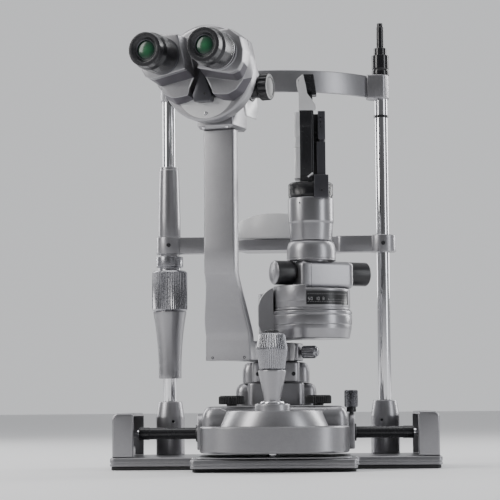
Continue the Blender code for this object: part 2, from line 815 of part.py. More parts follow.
def make_base_housing(axle):
    levels = [
        (HOUSING_BOTTOM, 0.0015),
        (HOUSING_BOTTOM + 0.003, 0.0),
        (HOUSING_SHOULDER, 0.0),
        (HOUSING_SHOULDER + 0.008, 0.0025),
        (HOUSING_TOP - 0.004, 0.0065),
        (HOUSING_TOP, 0.0115),
    ]
    rings = []
    hollow = []
    for height, inset in levels:
        rings.append([(x, y, height - AXLE_HEIGHT) for x, y in housing_outline(inset)])
        z = height - AXLE_HEIGHT - HOUSING_WALL
        hollow.append([(x, y, z) for x, y in housing_outline(inset + HOUSING_WALL)])
    hollow[0] = [(x, y, z - 0.02) for x, y, z in hollow[0]]
    housing = stacked("base_housing", rings, "satin_silver", under=axle)
    joystick_hole = GIMBAL_RADIUS + 0.0015
    collar = [
        (0, HOUSING_TOP + 0.0025),
        (0.0195, HOUSING_TOP + 0.0025),
        (0.0205, HOUSING_TOP + 0.0015),
        (0.0205, HOUSING_TOP - 0.002),
        (0, HOUSING_TOP - 0.002),
    ]
    stick_at = (JOYSTICK_X, -JOYSTICK_FROM_AXLE, -AXLE_HEIGHT)
    join(housing, turned("joystick_collar", collar, "satin_silver", under=axle, at=stick_at))
    cut(
        housing,
        stacked("housing_hollow", hollow, "black_metal", under=axle),
        rod("housing_axle_bore", AXLE_TUBE_RADIUS + RUNNING, -0.2, 0.2, under=axle, turn=(0, 90, 0)),
        rod("housing_column_bore", COLUMN_RADIUS + RUNNING, 0, 0.1, under=axle, at=(0, PIVOT_FROM_AXLE, 0)),
        rod(
            "housing_joystick_bore",
            joystick_hole,
            HOUSING_TOP - AXLE_HEIGHT - 0.003,
            0.1,
            under=axle,
            at=(JOYSTICK_X, -JOYSTICK_FROM_AXLE, 0),
        ),
    )
    rod(
        "slide_foot",
        FOOT_RADIUS,
        PLATE_TOP + 2 * GAP + FRICTION_PLATE_THICKNESS - AXLE_HEIGHT,
        HOUSING_TOP - HOUSING_WALL - GAP - AXLE_HEIGHT,
        "black_plastic",
        under=axle,
        at=(JOYSTICK_X, -JOYSTICK_FROM_AXLE, 0),
    )


def make_flanges(axle):
    """End plates that bush the axle; the right one takes the lock screw from above."""
    inner = HOUSING_HALF_WIDTH + GAP
    low = FLANGE_BOTTOM - AXLE_HEIGHT
    high = FLANGE_TOP - AXLE_HEIGHT
    half = FLANGE_HALF_DEPTH
    outline = [(-half, low), (half, low), (half, high - half)]
    outline += arc(half, 0, 180, 8, (0, high - half))[1:-1]
    outline += [(-half, high - half)]
    for side, sign in SIDES:
        middle = sign * (inner + FLANGE_THICKNESS / 2)
        flange = plate(
            f"base_flange_{side}",
            outline,
            -FLANGE_THICKNESS / 2,
            FLANGE_THICKNESS / 2,
            "satin_silver",
            0.001,
            under=axle,
            at=(middle, 0, 0),
            turn=(90, 0, 90),
        )
        bore = rod(f"flange_bore_{side}", AXLE_TUBE_RADIUS + RUNNING, -0.02, 0.02, under=axle,
                   at=(middle, 0, 0), turn=(0, 90, 0))
        cut(flange, bore)
        if sign > 0:
            depth = high - 0.010
            hole = rod("lock_screw_bore", 0.0020 + RUNNING, depth, high + 0.01, under=axle,
                       at=(middle, 0, 0))
            cut(flange, hole)
            base = high + 0.006
            profile = [
                (0, base + LOCK_KNOB_HEIGHT),
                (LOCK_KNOB_RADIUS - 0.001, base + LOCK_KNOB_HEIGHT),
                (LOCK_KNOB_RADIUS, base + LOCK_KNOB_HEIGHT - 0.001),
                (LOCK_KNOB_RADIUS, base + 0.001),
                (LOCK_KNOB_RADIUS - 0.001, base),
                (0.0045, base),
                (0.0045, high + GAP),
                (0.0020, high + GAP),
                (0.0020, depth + GAP),
                (0, depth + GAP),
            ]
            turned("lock_screw", profile, "knurled_steel", 24, under=axle, at=(middle, 0, 0))


def make_base_knobs(axle):
    low = BLOCK_BOTTOM
    for side, sign in SIDES:
        profile = [
            (0, low + 0.002 + BASE_KNOB_HEIGHT),
            (BASE_KNOB_RADIUS - 0.001, low + 0.002 + BASE_KNOB_HEIGHT),
            (BASE_KNOB_RADIUS, low + 0.001 + BASE_KNOB_HEIGHT),
            (BASE_KNOB_RADIUS, low + 0.002),
            (0.006, low + 0.002),
            (0.006, low),
            (0, low),
        ]
        turned(
            f"base_knob_{side}",
            profile,
            "black_plastic",
            under=axle,
            at=(sign * BASE_KNOB_SPREAD, -BASE_KNOB_FROM_AXLE, -AXLE_HEIGHT),
        )


def make_column_housing(axle):
    front = block(
        "column_housing",
        (-0.033, 0.033),
        (-0.0235, 0.0235),
        (BLOCK_BOTTOM, COLUMN_HOUSING_TOP),
        "satin_silver",
        0.008,
        0.001,
        under=axle,
        at=(0, PIVOT_FROM_AXLE, -AXLE_HEIGHT),
    )
    lobes = block(
        "column_housing_lobes",
        (-0.0475, 0.0475),
        (-0.0125, 0.0215),
        (BLOCK_BOTTOM + GAP, COLUMN_HOUSING_TOP - GAP),
        "satin_silver",
        0.010,
        0.006,
        under=axle,
        at=(0, PIVOT_FROM_AXLE, -AXLE_HEIGHT),
    )
    bore = rod(
        "column_housing_bore",
        COLUMN_RADIUS + RUNNING,
        0.05,
        0.12,
        under=axle,
        at=(0, PIVOT_FROM_AXLE, -AXLE_HEIGHT),
    )
    cut(join(front, lobes), bore)


# ---- Joystick -----------------------------------------------------------------------


def make_joystick():
    stick = frame("joystick_frame", (JOYSTICK_X, JOYSTICK_Y, GIMBAL_HEIGHT))
    ring_half = 0.002
    neck = STEM_NARROW + 0.0016
    profile = [(neck, -ring_half), (neck, ring_half), (GIMBAL_RADIUS - 0.0005, ring_half)]
    profile += [(GIMBAL_RADIUS, 0), (GIMBAL_RADIUS - 0.0005, -ring_half)]
    turned("joystick_gimbal", profile, "polished_steel", under=stick)
    top = STEM_TOP - GIMBAL_HEIGHT
    core = 0.006
    grip_low = top + GAP
    core_top = grip_low + GRIP_LENGTH - 0.008
    profile = [
        (0, core_top),
        (core, core_top),
        (core, top),
        (STEM_WIDE, top),
        (STEM_NARROW, ring_half),
        (STEM_NARROW, -ring_half),
        (0.006, -ring_half - 0.001),
        (0, -ring_half - 0.001),
    ]
    turned("joystick_stem", profile, "polished_steel", under=stick)
    bore = core + RUNNING
    high = grip_low + GRIP_LENGTH
    plunger = 0.003 + RUNNING
    profile = [
        (bore, grip_low),
        (bore, core_top + GAP),
        (plunger, core_top + GAP),
        (plunger, high),
        (STEM_WIDE - 0.001, high),
        (STEM_WIDE, high - 0.001),
        (GRIP_RADIUS, grip_low + 0.56 * GRIP_LENGTH),
        (STEM_WIDE, grip_low),
    ]
    turned("joystick_grip", profile, "knurled_steel", 24, under=stick)
    travel = 0.0015
    profile = [
        (0, high + travel + 0.003),
        (BUTTON_RADIUS * 0.6, high + travel + 0.0025),
        (BUTTON_RADIUS, high + travel + 0.0008),
        (BUTTON_RADIUS, high + travel + GAP),
        (0.003, high + travel + GAP),
        (0.003, core_top + GAP + travel + GAP),
        (0, core_top + GAP + travel + GAP),
    ]
    turned("joystick_button", profile, "black_plastic", 20, under=stick)


# ---- Elevating column and pivot -----------------------------------------------------


def make_elevator():
    pivot = frame("pivot_frame", (0, PIVOT_Y, 0))
    low = COLUMN_HOUSING_TOP + GAP
    collar = low + 0.003
    profile = [
        (0, SPIGOT_TOP),
        (SPIGOT_RADIUS, SPIGOT_TOP),
        (SPIGOT_RADIUS, collar),
        (0.016, collar),
        (0.016, low),
        (COLUMN_RADIUS, low),
        (COLUMN_RADIUS, 0.028),
        (0, 0.028),
    ]
    turned("elevating_column", profile, "polished_steel", under=pivot)
    half = PIVOT_BLOCK_WIDTH / 2
    body = block(
        "pivot_block",
        (-half, half),
        (-PIVOT_BLOCK_DEPTH / 2, PIVOT_BLOCK_DEPTH / 2),
        (low, PIVOT_BLOCK_TOP),
        "satin_silver",
        0.010,
        0.005,
        under=pivot,
    )
    recess = rod("pivot_block_recess", 0.016 + RUNNING, low - 0.01, collar + GAP, under=pivot)
    bore = rod("pivot_block_bore", SPIGOT_RADIUS + RUNNING, low, 0.15, under=pivot)
    cut(body, recess, bore)


# ---- Microscope ---------------------------------------------------------------------


def section(radius_in, depth, half_width, height, offset=0.0):
    """A level rectangle of the arm; radii run from the pivot towards the operator."""
    y_in, y_out = -radius_in, -radius_in - depth
    return [
        (offset - half_width, y_out, height),
        (offset + half_width, y_out, height),
        (offset + half_width, y_in, height),
        (offset - half_width, y_in, height),
    ]


def make_microscope_arm(scope):
    low = PIVOT_BLOCK_TOP + GAP
    foot_top = low + FOOT_HEIGHT
    inner = ARM_RADIUS - ARM_THICKNESS / 2
    bottom = ARM_BOTTOM_RADIUS
    wide = ARM_BOTTOM_HALF_WIDTH
    offset = ARM_BOTTOM_OFFSET
    arm = stacked(
        "microscope_arm",
        [
            section(bottom, ARM_THICKNESS + 0.003, wide, low, offset),
            section(ARM_BEND_RADIUS, ARM_THICKNESS, wide, LAMP_BOTTOM, offset),
            section(ARM_BEND_RADIUS, ARM_THICKNESS, wide - 0.002, ARM_BEND, offset * 0.9),
            section(inner, ARM_THICKNESS, ARM_HALF_WIDTH, ARM_SWEEP_TOP),
            section(inner, ARM_THICKNESS, ARM_HALF_WIDTH, ARM_TOP),
        ],
        "satin_silver",
        under=scope,
    )
    ring = 0.026
    outline = arc(ring, 10, 170, 8) + [(-0.030, -bottom - 0.004), (0.012, -bottom - 0.004)]
    foot = plate("microscope_foot", outline, low + GAP, foot_top - GAP, "satin_silver", under=scope)
    boss = block(
        "clamp_boss",
        (0.015, 0.0315),
        (-0.010, 0.010),
        (low + 2 * GAP, foot_top - 2 * GAP),
        "satin_silver",
        under=scope,
    )
    bore = rod("microscope_foot_bore", SPIGOT_RADIUS + RUNNING, low - 0.01, foot_top + 0.01, under=scope)
    middle = low + FOOT_HEIGHT / 2
    clamp_bore = rod(
        "clamp_bore", 0.003 + RUNNING, 0.016, 0.05, under=scope, at=(0, 0, middle), turn=(0, 90, 0)
    )
    join(arm, foot, boss)
    cut(arm, bore, clamp_bore)
    knob = 0.0315 + 0.002
    profile = [
        (0, 0.016 + GAP),
        (0.003, 0.016 + GAP),
        (0.003, knob),
        (0.0065, knob),
        (0.0075, knob + 0.001),
        (0.0075, knob + 0.017),
        (0.0065, knob + 0.020),
        (0, knob + 0.020),
    ]
    turned(
        "swing_clamp_knob",
        profile,
        "knurled_steel",
        24,
        under=scope,
        at=(0, 0, middle),
        turn=(0, 90, 0),
    )


def make_microscope_body(scope):
    half = BRACKET_WIDTH / 2
    front = -(BODY_REAR - DRUM_HEAD_LENGTH - 0.006 - GAP)
    bracket = block(
        "arm_bracket",
        (-half, half),
        (front, front + BRACKET_DEPTH),
        (ARM_TOP + GAP, OPTICAL_HEIGHT - BODY_RADIUS + 0.008),
        "satin_silver",
        0.003,
        under=scope,
    )
    along_y = (90, 0, 0)
    axis = (0, 0, OPTICAL_HEIGHT)
    saddle = rod(
        "bracket_saddle",
        BODY_RADIUS + GAP,
        0.05,
        0.3,
        segments=BODY_SEGMENTS,
        under=scope,
        at=axis,
        turn=along_y,
    )
    cut(bracket, saddle)
    lens_bore = 0.018
    profile = [
        (lens_bore, OBJECTIVE_FRONT),
        (lens_bore, OBJECTIVE_FRONT + 0.008),
        (0, OBJECTIVE_FRONT + 0.008),
        (0, BODY_REAR),
        (DRUM_HEAD_RADIUS - 0.002, BODY_REAR),
        (DRUM_HEAD_RADIUS, BODY_REAR - 0.002),
        (DRUM_HEAD_RADIUS, BODY_REAR - DRUM_HEAD_LENGTH),
        (BODY_RADIUS, BODY_REAR - DRUM_HEAD_LENGTH - 0.006),
        (BODY_RADIUS, BODY_FRONT + 0.010),
        (BODY_RADIUS - 0.008, BODY_FRONT),
        (OBJECTIVE_RADIUS, BODY_FRONT),
        (OBJECTIVE_RADIUS, OBJECTIVE_FRONT),
    ]
    body = turned(
        "microscope_body",
        profile,
        "satin_silver",
        BODY_SEGMENTS,
        under=scope,
        at=axis,
        turn=along_y,
    )
    shaft = 0.004
    through = rod(
        "magnifier_bore",
        shaft + RUNNING,
        -0.1,
        0.1,
        under=scope,
        at=(0, -ARM_RADIUS, OPTICAL_HEIGHT + MAGNIFIER_RISE),
        turn=(0, 90, 0),
    )
    cut(body, through)
    lens = [
        (0, OBJECTIVE_FRONT + 0.001),
        (lens_bore - RUNNING, OBJECTIVE_FRONT + 0.003),
        (lens_bore - RUNNING, OBJECTIVE_FRONT + 0.008 - GAP),
        (0, OBJECTIVE_FRONT + 0.008 - GAP),
    ]
    turned("objective_lens", lens, "coated_glass", 24, under=scope, at=axis, turn=along_y)
    reach = MAGNIFIER_REACH
    half_profile = [
        (shaft, BODY_RADIUS - 0.012),
        (shaft, BODY_RADIUS + 0.002),
        (0.012, BODY_RADIUS + 0.002),
        (0.012, reach - 0.010),
        (MAGNIFIER_RADIUS, reach - 0.009),
        (MAGNIFIER_RADIUS, reach - 0.001),
        (MAGNIFIER_RADIUS - 0.001, reach),
        (0, reach),
    ]
    profile = [(r, -z) for r, z in reversed(half_profile)] + half_profile
    turned(
        "magnification_knobs",
        profile,
        "black_plastic",
        24,
        under=scope,
        at=(0, -ARM_RADIUS, OPTICAL_HEIGHT + MAGNIFIER_RISE),
        turn=(0, 90, 0),
    )


def make_eyepieces(scope):
    """Two prism pods that turn about their own axes, each with its eyepiece."""
    pod_low = BODY_REAR + GAP
    pod_high = pod_low + POD_DEPTH
    for side, sign in SIDES:
        corners = [(0.004, -0.020), (0.030, -0.030), (0.047, -0.014), (0.055, 0.002)]
        corners += [(0.055, 0.026), (0.045, 0.038), (0.020, 0.038), (0.011, 0.026)]
        corners = [(sign * (x - POD_AXIS), z) for x, z in corners]
        if sign < 0:
            corners.reverse()
        pod = plate(
            f"prism_pod_{side}",
            rounded(corners, 0.003, 2),
            pod_low,
            pod_high,
            "satin_silver",
            under=scope,
            at=(sign * POD_AXIS, 0, OPTICAL_HEIGHT),
            turn=(90, 0, 0),
        )
        centre = (sign * EYEPIECE_SPREAD, 0, OPTICAL_HEIGHT + EYEPIECE_RISE)
        socket = pod_high - 0.008
        bore = rod(
            f"pod_socket_{side}",
            0.0165 + RUNNING,
            socket,
            pod_high + 0.02,
            under=scope,
            at=centre,
            turn=(90, 0, 0),
        )
        cut(pod, bore)
        front = pod_high + EYEPIECE_LENGTH
        lens_seat = front - 0.008
        profile = [
            (0, lens_seat),
            (EYE_LENS_RADIUS + RUNNING, lens_seat),
            (EYE_LENS_RADIUS + RUNNING, front - 0.004),
            (0.0135, front - 0.001),
            (0.0145, front),
            (0.0185, front),
            (0.0185, front - 0.010),
            (EYEPIECE_RADIUS, front - 0.014),
            (EYEPIECE_RADIUS, pod_high + 0.002),
            (0.0165, pod_high + 0.0005),
            (0.0165, socket + GAP),
            (0, socket + GAP),
        ]
        turned(
            f"eyepiece_{side}", profile, "black_plastic", under=scope, at=centre, turn=(90, 0, 0)
        )
        lens = [
            (0, front - 0.0045),
            (EYE_LENS_RADIUS, front - 0.0055),
            (EYE_LENS_RADIUS, lens_seat + GAP),
            (0, lens_seat + GAP),
        ]
        turned(f"eye_lens_{side}", lens, "coated_glass", 20, under=scope, at=centre, turn=(90, 0, 0))


# ---- Illuminator --------------------------------------------------------------------


def make_illuminator():
    lamp = frame("illuminator_frame", (0, PIVOT_Y, 0), ILLUMINATOR_SWING)
    tower = (0, -TOWER_RADIUS, 0)
    lamp_top = LAMP_BOTTOM + LAMP_HEIGHT
    drum_low = lamp_top + GAP
    drum_top = drum_low + DRUM_HEIGHT
    bore = SPIGOT_RADIUS + RUNNING
    profile = [
        (bore, LAMP_BOTTOM),
        (bore, drum_top - 0.002),
        (HUB_RADIUS - 0.001, drum_top - 0.002),
        (HUB_RADIUS, drum_top - 0.003),
        (HUB_RADIUS, LAMP_BOTTOM),
    ]
    hub = turned("illuminator_hub", profile, "satin_silver", under=lamp)
    saddle = rod("hub_saddle", LAMP_RADIUS + GAP, 0.1, 0.3, segments=LAMP_SEGMENTS, under=lamp, at=tower)
    cut(hub, saddle)

    profile = [
        (0, lamp_top),
        (LAMP_RADIUS, lamp_top),
        (LAMP_RADIUS, LAMP_BOTTOM + 0.017),
        (LAMP_RADIUS - 0.003, LAMP_BOTTOM + 0.001),
        (LAMP_RADIUS - 0.004, LAMP_BOTTOM),
        (0, LAMP_BOTTOM),
    ]
    turned("lamp_house", profile, "satin_silver", LAMP_SEGMENTS, under=lamp, at=tower)

    profile = [
        (0, drum_top),
        (DRUM_RADIUS - 0.002, drum_top),
        (DRUM_RADIUS, drum_top - 0.002),
        (DRUM_RADIUS, drum_low),
        (0, drum_low),
    ]
    turned("control_drum", profile, "satin_silver", LAMP_SEGMENTS, under=lamp, at=tower)

    # the slit controls turn to face the operator, who sits at an angle to the tower
    controls = frame("controls_frame", (0, -TOWER_RADIUS, 0), 0)
    controls.parent = lamp
    controls.rotation_euler = (0, 0, math.radians(-ILLUMINATOR_SWING))
    slit = frame("slit_frame", (0, 0, 0), KNOB_BOX_YAW)
    slit.parent = controls
    box_low = drum_top + GAP
    box_top = box_low + KNOB_BOX_HEIGHT
    knob_height = box_low + KNOB_AXIS_RISE
    long, deep = KNOB_BOX_HALF_LENGTH, KNOB_BOX_HALF_DEPTH
    house = block(
        "slit_housing", (KNOB_BOX_OFFSET - long, KNOB_BOX_OFFSET + long), (-deep, deep), (box_low, box_top),
        "satin_silver", 0.006, 0.004, under=slit,
    )
    dome_top = box_top + DOME_HEIGHT
    dome_low = max(box_top, knob_height + SLIT_KNOB_RADIUS) + GAP
    dome = [
        (0, box_top - 0.010),
        (DOME_NECK_RADIUS, box_top - 0.010),
        (DOME_NECK_RADIUS, dome_low),
        (DOME_RADIUS, dome_low),
        (DOME_RADIUS, box_top + 0.004),
    ]
    dome += [
        (DOME_RADIUS * math.cos(math.radians(a)) ** 0.5, box_top + 0.004 + 0.020 * math.sin(math.radians(a)))
        for a in (25, 45)
    ]
    dome += [(0.0225, dome_top), (0, dome_top)]
    dome_piece = turned("slit_housing_dome", dome, "satin_silver", 32, under=controls)
    knob_place = (KNOB_BOX_OFFSET, 0, knob_height)
    knob_bore = rod(
        "slit_knob_bore", SLIT_SHAFT_RADIUS + RUNNING, -0.1, 0.1, under=slit, at=knob_place, turn=(0, 90, 0)
    )
    join(house, dome_piece)
    cut(house, knob_bore)
    reach = long + 0.001 + SLIT_KNOB_LENGTH
    half_profile = [
        (SLIT_SHAFT_RADIUS, 0.010),
        (SLIT_SHAFT_RADIUS, long + 0.001),
        (SLIT_KNOB_RADIUS - 0.001, long + 0.001),
        (SLIT_KNOB_RADIUS, long + 0.002),
        (SLIT_KNOB_RADIUS, reach - 0.001),
        (SLIT_KNOB_RADIUS - 0.001, reach),
        (0, reach),
    ]
    profile = [(r, -z) for r, z in reversed(half_profile)] + half_profile
    turned(
        "slit_knobs", profile, "black_plastic", 24, under=slit, at=knob_place, turn=(0, 90, 0)
    )

    tube_low = dome_top + GAP
    tube_top = tube_low + TUBE_HEIGHT
    core = 0.012
    ring_low = tube_top + GAP
    ring_top = ring_low + RING_HEIGHT
    profile = [
        (0, ring_top),
        (core, ring_top),
        (core, tube_top),
        (TUBE_RADIUS, tube_top),
        (TUBE_RADIUS, tube_low + 0.020),
        (0.0243, tube_low),
        (0, tube_low),
    ]
    turned("projector_tube", profile, "satin_silver", 32, under=controls)
    profile = [
        (core + RUNNING, ring_low),
        (core + RUNNING, ring_top),
        (RING_RADIUS - 0.001, ring_top),
        (RING_RADIUS, ring_top - 0.001),
        (RING_RADIUS, ring_low),
    ]
    turned("aperture_ring", profile, "black_metal", 32, under=controls)

    tower_low = ring_top + GAP
    half = TOWER_WIDTH / 2
    depth = TOWER_DEPTH / 2
    slot_height = tower_low + 0.006
    upright = block(
        "tower", (-half, half), (-depth, depth), (tower_low, TOWER_TOP), "black_metal", 0.003, 0.001,
        under=controls,
    )
    lever_slot = block(
        "filter_lever_slot", (-0.014, 0.014), (-depth - 0.01, -depth + 0.006),
        (slot_height - 0.002, slot_height + 0.002), "black_metal", under=controls,
    )
    cut(upright, lever_slot)
    profile = [(0, 0.020), (0.0010, 0.0195), (0.0014, 0.001), (0, 0.0005)]
    turned(
        "filter_lever",
        profile,
        "light_plastic",
        12,
        under=controls,
        at=(0, -depth + 0.005, slot_height),
        turn=(90, 0, 0),
    )
    bottom = TOWER_TOP + GAP
    outline = [(-depth, bottom), (depth - 0.002, bottom), (depth - 0.002, bottom + 0.012)]
    outline += [(depth - 0.010, PRISM_TOP - 0.004), (depth - 0.014, PRISM_TOP), (-0.004, PRISM_TOP)]
    outline += [(-depth, bottom + 0.022)]
    plate(
        "prism_head",
        outline,
        -0.0125,
        0.0125,
        "light_plastic",
        under=controls,
        at=(0, 0, 0),
        turn=(90, 0, 90),
    )


def main():
    for old in list(bpy.data.objects):
        bpy.data.objects.remove(old)
    make_plate()
    make_rails()
    make_posts()
    make_head_frame()
    make_fixation()
    make_chin_lift()
    make_chin_bar()
    make_chin_cup()
    make_axle()
    axle = bpy.data.objects["axle_frame"]
    make_base_housing(axle)
    make_flanges(axle)
    make_base_knobs(axle)
    make_column_housing(axle)
    make_joystick()
    make_elevator()
    scope = frame("microscope_frame", (0, PIVOT_Y, 0), MICROSCOPE_SWING)
    make_microscope_arm(scope)
    make_microscope_body(scope)
    make_eyepieces(scope)
    make_illuminator()
    bpy.context.view_layer.update()


main()
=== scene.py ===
# %% [markdown]
# # A table-top slit lamp
#
# A slit lamp is the stand-mounted microscope that an optician looks at an eye with. A lamp tower throws a
# thin slit of light, a binocular microscope looks at where it falls, and both swing about one upright
# pivot. The solid model already fixes every size, joint and place. This notebook dresses it: each bare
# solid gets a finish, or is replaced by a finer piece that fits the same space.

import math

import bmesh
import bpy
from mathutils import Matrix, Vector


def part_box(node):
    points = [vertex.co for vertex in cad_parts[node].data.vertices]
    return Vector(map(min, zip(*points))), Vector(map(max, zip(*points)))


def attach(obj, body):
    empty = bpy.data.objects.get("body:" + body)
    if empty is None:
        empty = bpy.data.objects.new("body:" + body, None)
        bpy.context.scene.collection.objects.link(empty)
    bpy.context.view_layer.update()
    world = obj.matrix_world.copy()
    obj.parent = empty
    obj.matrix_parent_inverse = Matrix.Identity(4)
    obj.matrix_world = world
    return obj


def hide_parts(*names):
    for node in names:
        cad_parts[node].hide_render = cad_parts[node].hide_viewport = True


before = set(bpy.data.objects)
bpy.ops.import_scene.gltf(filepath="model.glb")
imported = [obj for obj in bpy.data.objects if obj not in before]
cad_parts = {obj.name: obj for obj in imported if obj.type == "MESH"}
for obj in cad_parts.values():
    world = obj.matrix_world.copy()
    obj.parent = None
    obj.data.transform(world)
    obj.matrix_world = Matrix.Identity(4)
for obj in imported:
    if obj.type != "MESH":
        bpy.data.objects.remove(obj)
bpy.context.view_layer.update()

# %% [markdown]
# ## The places everything is measured from
#
# Machines like this are laid out from a few axes. We read them from the solids instead of typing them
# again: the middle of a turned piece's box is its axis. The microscope and the lamp each have a frame of
# their own, because they were drawn facing straight ahead and then swung about the pivot.

# %% Read the axes from the solids


def middle(node):
    low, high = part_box(node)
    return (low + high) / 2


POSTS = {"left": middle("post_left"), "right": middle("post_right")}
POST_BORE = 0.0083  # the radius of a hole that a post passes through
SIDES = (("left", -1), ("right", 1))
PIVOT = middle("elevating_column")
STICK = middle("joystick_stem")
AXLE = middle("axle_tube")
TOWER = middle("projector_tube")
SCOPE_SWING = math.radians(-19.8)
OPTICAL_HEIGHT = middle("microscope_body").z

upright = Matrix.Identity(4)
scope_frame = Matrix.Translation((PIVOT.x, PIVOT.y, 0)) @ Matrix.Rotation(SCOPE_SWING, 4, "Z")
lamp_frame = Matrix.Translation((TOWER.x, TOWER.y, 0))
stick_frame = Matrix.Translation((STICK.x, STICK.y, 0))
pivot_frame = Matrix.Translation((PIVOT.x, PIVOT.y, 0))
print("pivot at", tuple(round(c, 4) for c in PIVOT), "lamp axis at", tuple(round(c, 4) for c in TOWER))

# %% Turns that lay a piece drawn upright along another axis


def rotated(degrees, axis):
    return Matrix.Rotation(math.radians(degrees), 4, axis)


FACE_FRONT = rotated(90, "X")  # its own up becomes towards the operator
FACE_RIGHT = rotated(90, "Y")  # its own up becomes to the right
FACE_LEFT = rotated(-90, "Y")


def at(x, y, z):
    return Matrix.Translation((x, y, z))


# the microscope's optical axis, with up turned to run from the pivot out to the operator
optic_frame = scope_frame @ at(0, 0, OPTICAL_HEIGHT) @ FACE_FRONT
print("frames ready")

# %% [markdown]
# ## Studio
#
# Satin metal shows its shape only by what it reflects. A pale floor, a pale surrounding and large soft
# lamps at the sides give long, gentle gradients along every turned surface, as in a product catalogue.
# The camera stands low, level with the base, and looks slightly up from some two metres away, which keeps
# the posts straight and lets the microscope head tower over the viewer.

# %% Camera


def look_from(place, pitch, yaw, roll, lens):
    data = bpy.data.cameras.new("studio_camera")
    data.lens = lens
    data.sensor_width = 36
    data.clip_end = 60
    camera = bpy.data.objects.new("studio_camera", data)
    bpy.context.scene.collection.objects.link(camera)
    camera.matrix_world = (
        Matrix.Translation(place)
        @ rotated(yaw, "Z")
        @ rotated(90 + pitch, "X")
        @ rotated(roll, "Z")
    )
    bpy.context.scene.camera = camera
    return camera


camera = look_from((0.0486, -2.2025, 0.0746), pitch=4.65, yaw=2.0, roll=-0.47, lens=136.3)
print("camera", [round(c, 3) for c in camera.location])

# %% Helper that adds a math node


def math_node(tree, operation, first, second=None):
    node = tree.nodes.new("ShaderNodeMath")
    node.operation = operation
    for socket, value in zip(node.inputs, (first, second)):
        if value is None:
            continue
        if isinstance(value, (int, float)):
            socket.default_value = value
        else:
            tree.links.new(value, socket)
    return node.outputs[0]


print("node helper ready")

# %% Floor, surroundings and lamps


def studio_floor():
    edit = bmesh.new()
    bmesh.ops.create_circle(edit, cap_ends=True, segments=96, radius=14)
    mesh = bpy.data.meshes.new("studio_floor")
    edit.to_mesh(mesh)
    edit.free()
    floor = bpy.data.objects.new("studio_floor", mesh)
    floor.location.z = -0.0004
    bpy.context.scene.collection.objects.link(floor)
    material = bpy.data.materials.new("pale_floor")
    material.use_nodes = True
    shader = material.node_tree.nodes["Principled BSDF"]
    shader.inputs["Base Color"].default_value = (0.86, 0.86, 0.87, 1)
    shader.inputs["Roughness"].default_value = 0.55
    mesh.materials.append(material)
    return floor


def soft_lamp(name, place, target, size, power, colour=(1, 1, 1)):
    data = bpy.data.lights.new(name, "AREA")
    data.shape = "RECTANGLE"
    data.size, data.size_y = size
    data.energy = power
    data.color = colour
    lamp = bpy.data.objects.new(name, data)
    bpy.context.scene.collection.objects.link(lamp)
    lamp.location = place
    lamp.rotation_euler = (Vector(target) - Vector(place)).to_track_quat("-Z", "Y").to_euler()
    return lamp


def studio_air(front, side, rear, above, strength):
    """Surroundings that are paler at the sides and behind the instrument than behind the camera."""
    world = bpy.data.worlds.new("studio_air")
    world.use_nodes = True
    tree = world.node_tree
    split = tree.nodes.new("ShaderNodeSeparateXYZ")
    tree.links.new(tree.nodes.new("ShaderNodeTexCoord").outputs["Generated"], split.inputs[0])
    x, y, z = (split.outputs[axis] for axis in "XYZ")
    backwards = math_node(tree, "MULTIPLY", y, -1.0)
    total = 0.0
    for operation, along_axis, value in (("MAXIMUM", backwards, front), ("MAXIMUM", y, rear),
                                         ("ABSOLUTE", x, side), ("ABSOLUTE", z, above)):
        share = math_node(tree, "POWER", math_node(tree, operation, along_axis, 0.0), 2.0)
        total = math_node(tree, "ADD", total, math_node(tree, "MULTIPLY", share, value))
    background = tree.nodes["Background"]
    background.inputs["Color"].default_value = (0.97, 0.98, 1, 1)
    tree.links.new(math_node(tree, "MULTIPLY", total, strength), background.inputs["Strength"])
    bpy.context.scene.world = world


studio_floor()
studio_air(front=0.10, side=0.34, rear=0.74, above=0.62, strength=1.0)
AIM = (0, 0, 0.25)
soft_lamp("key_lamp", (-1.6, -0.9, 1.3), AIM, (0.7, 1.6), 26, (1, 0.985, 0.96))
soft_lamp("fill_lamp", (1.8, -1.0, 0.7), AIM, (0.5, 1.5), 10, (0.95, 0.97, 1))
soft_lamp("rim_lamp_right", (1.5, 1.1, 1.0), AIM, (0.5, 1.6), 20)
soft_lamp("rim_lamp_left", (-1.4, 1.2, 1.0), AIM, (0.5, 1.6), 16)
soft_lamp("top_lamp", (0, 0.1, 1.9), AIM, (1.2, 1.0), 9)
print("studio ready")

# %% [markdown]
# ## Effects shared by the finishes
#
# Real finishes are never one even colour. Four effects are used over and over, so each is built once as a
# node group and placed in the materials with its own values: the fine grain of sprayed metallic paint, the
# rings a lathe leaves, the smears fingers leave, and the bright line where paint thins over an edge.

# %% Helper that makes a node group with named sockets


def effect_group(name, inputs, outputs):
    tree = bpy.data.node_groups.new(name, "ShaderNodeTree")
    for label, value in inputs:
        kind = "NodeSocketVector" if label in ("Vector", "Normal") else "NodeSocketFloat"
        socket = tree.interface.new_socket(name=label, in_out="INPUT", socket_type=kind)
        if value is not None:
            socket.default_value = value
    for label in outputs:
        tree.interface.new_socket(name=label, in_out="OUTPUT", socket_type="NodeSocketFloat")
    source = tree.nodes.new("NodeGroupInput")
    result = tree.nodes.new("NodeGroupOutput")
    return tree, source, result


print("group helper ready")

# %% [markdown]
# **Paint grain.** Sprayed metallic paint has an orange-peel skin a fraction of a millimetre across, and
# flakes that catch the light one by one. Two sizes of noise give both: the group puts out a height for the
# bump and a tint that lightens and darkens the colour.

# %% Paint grain


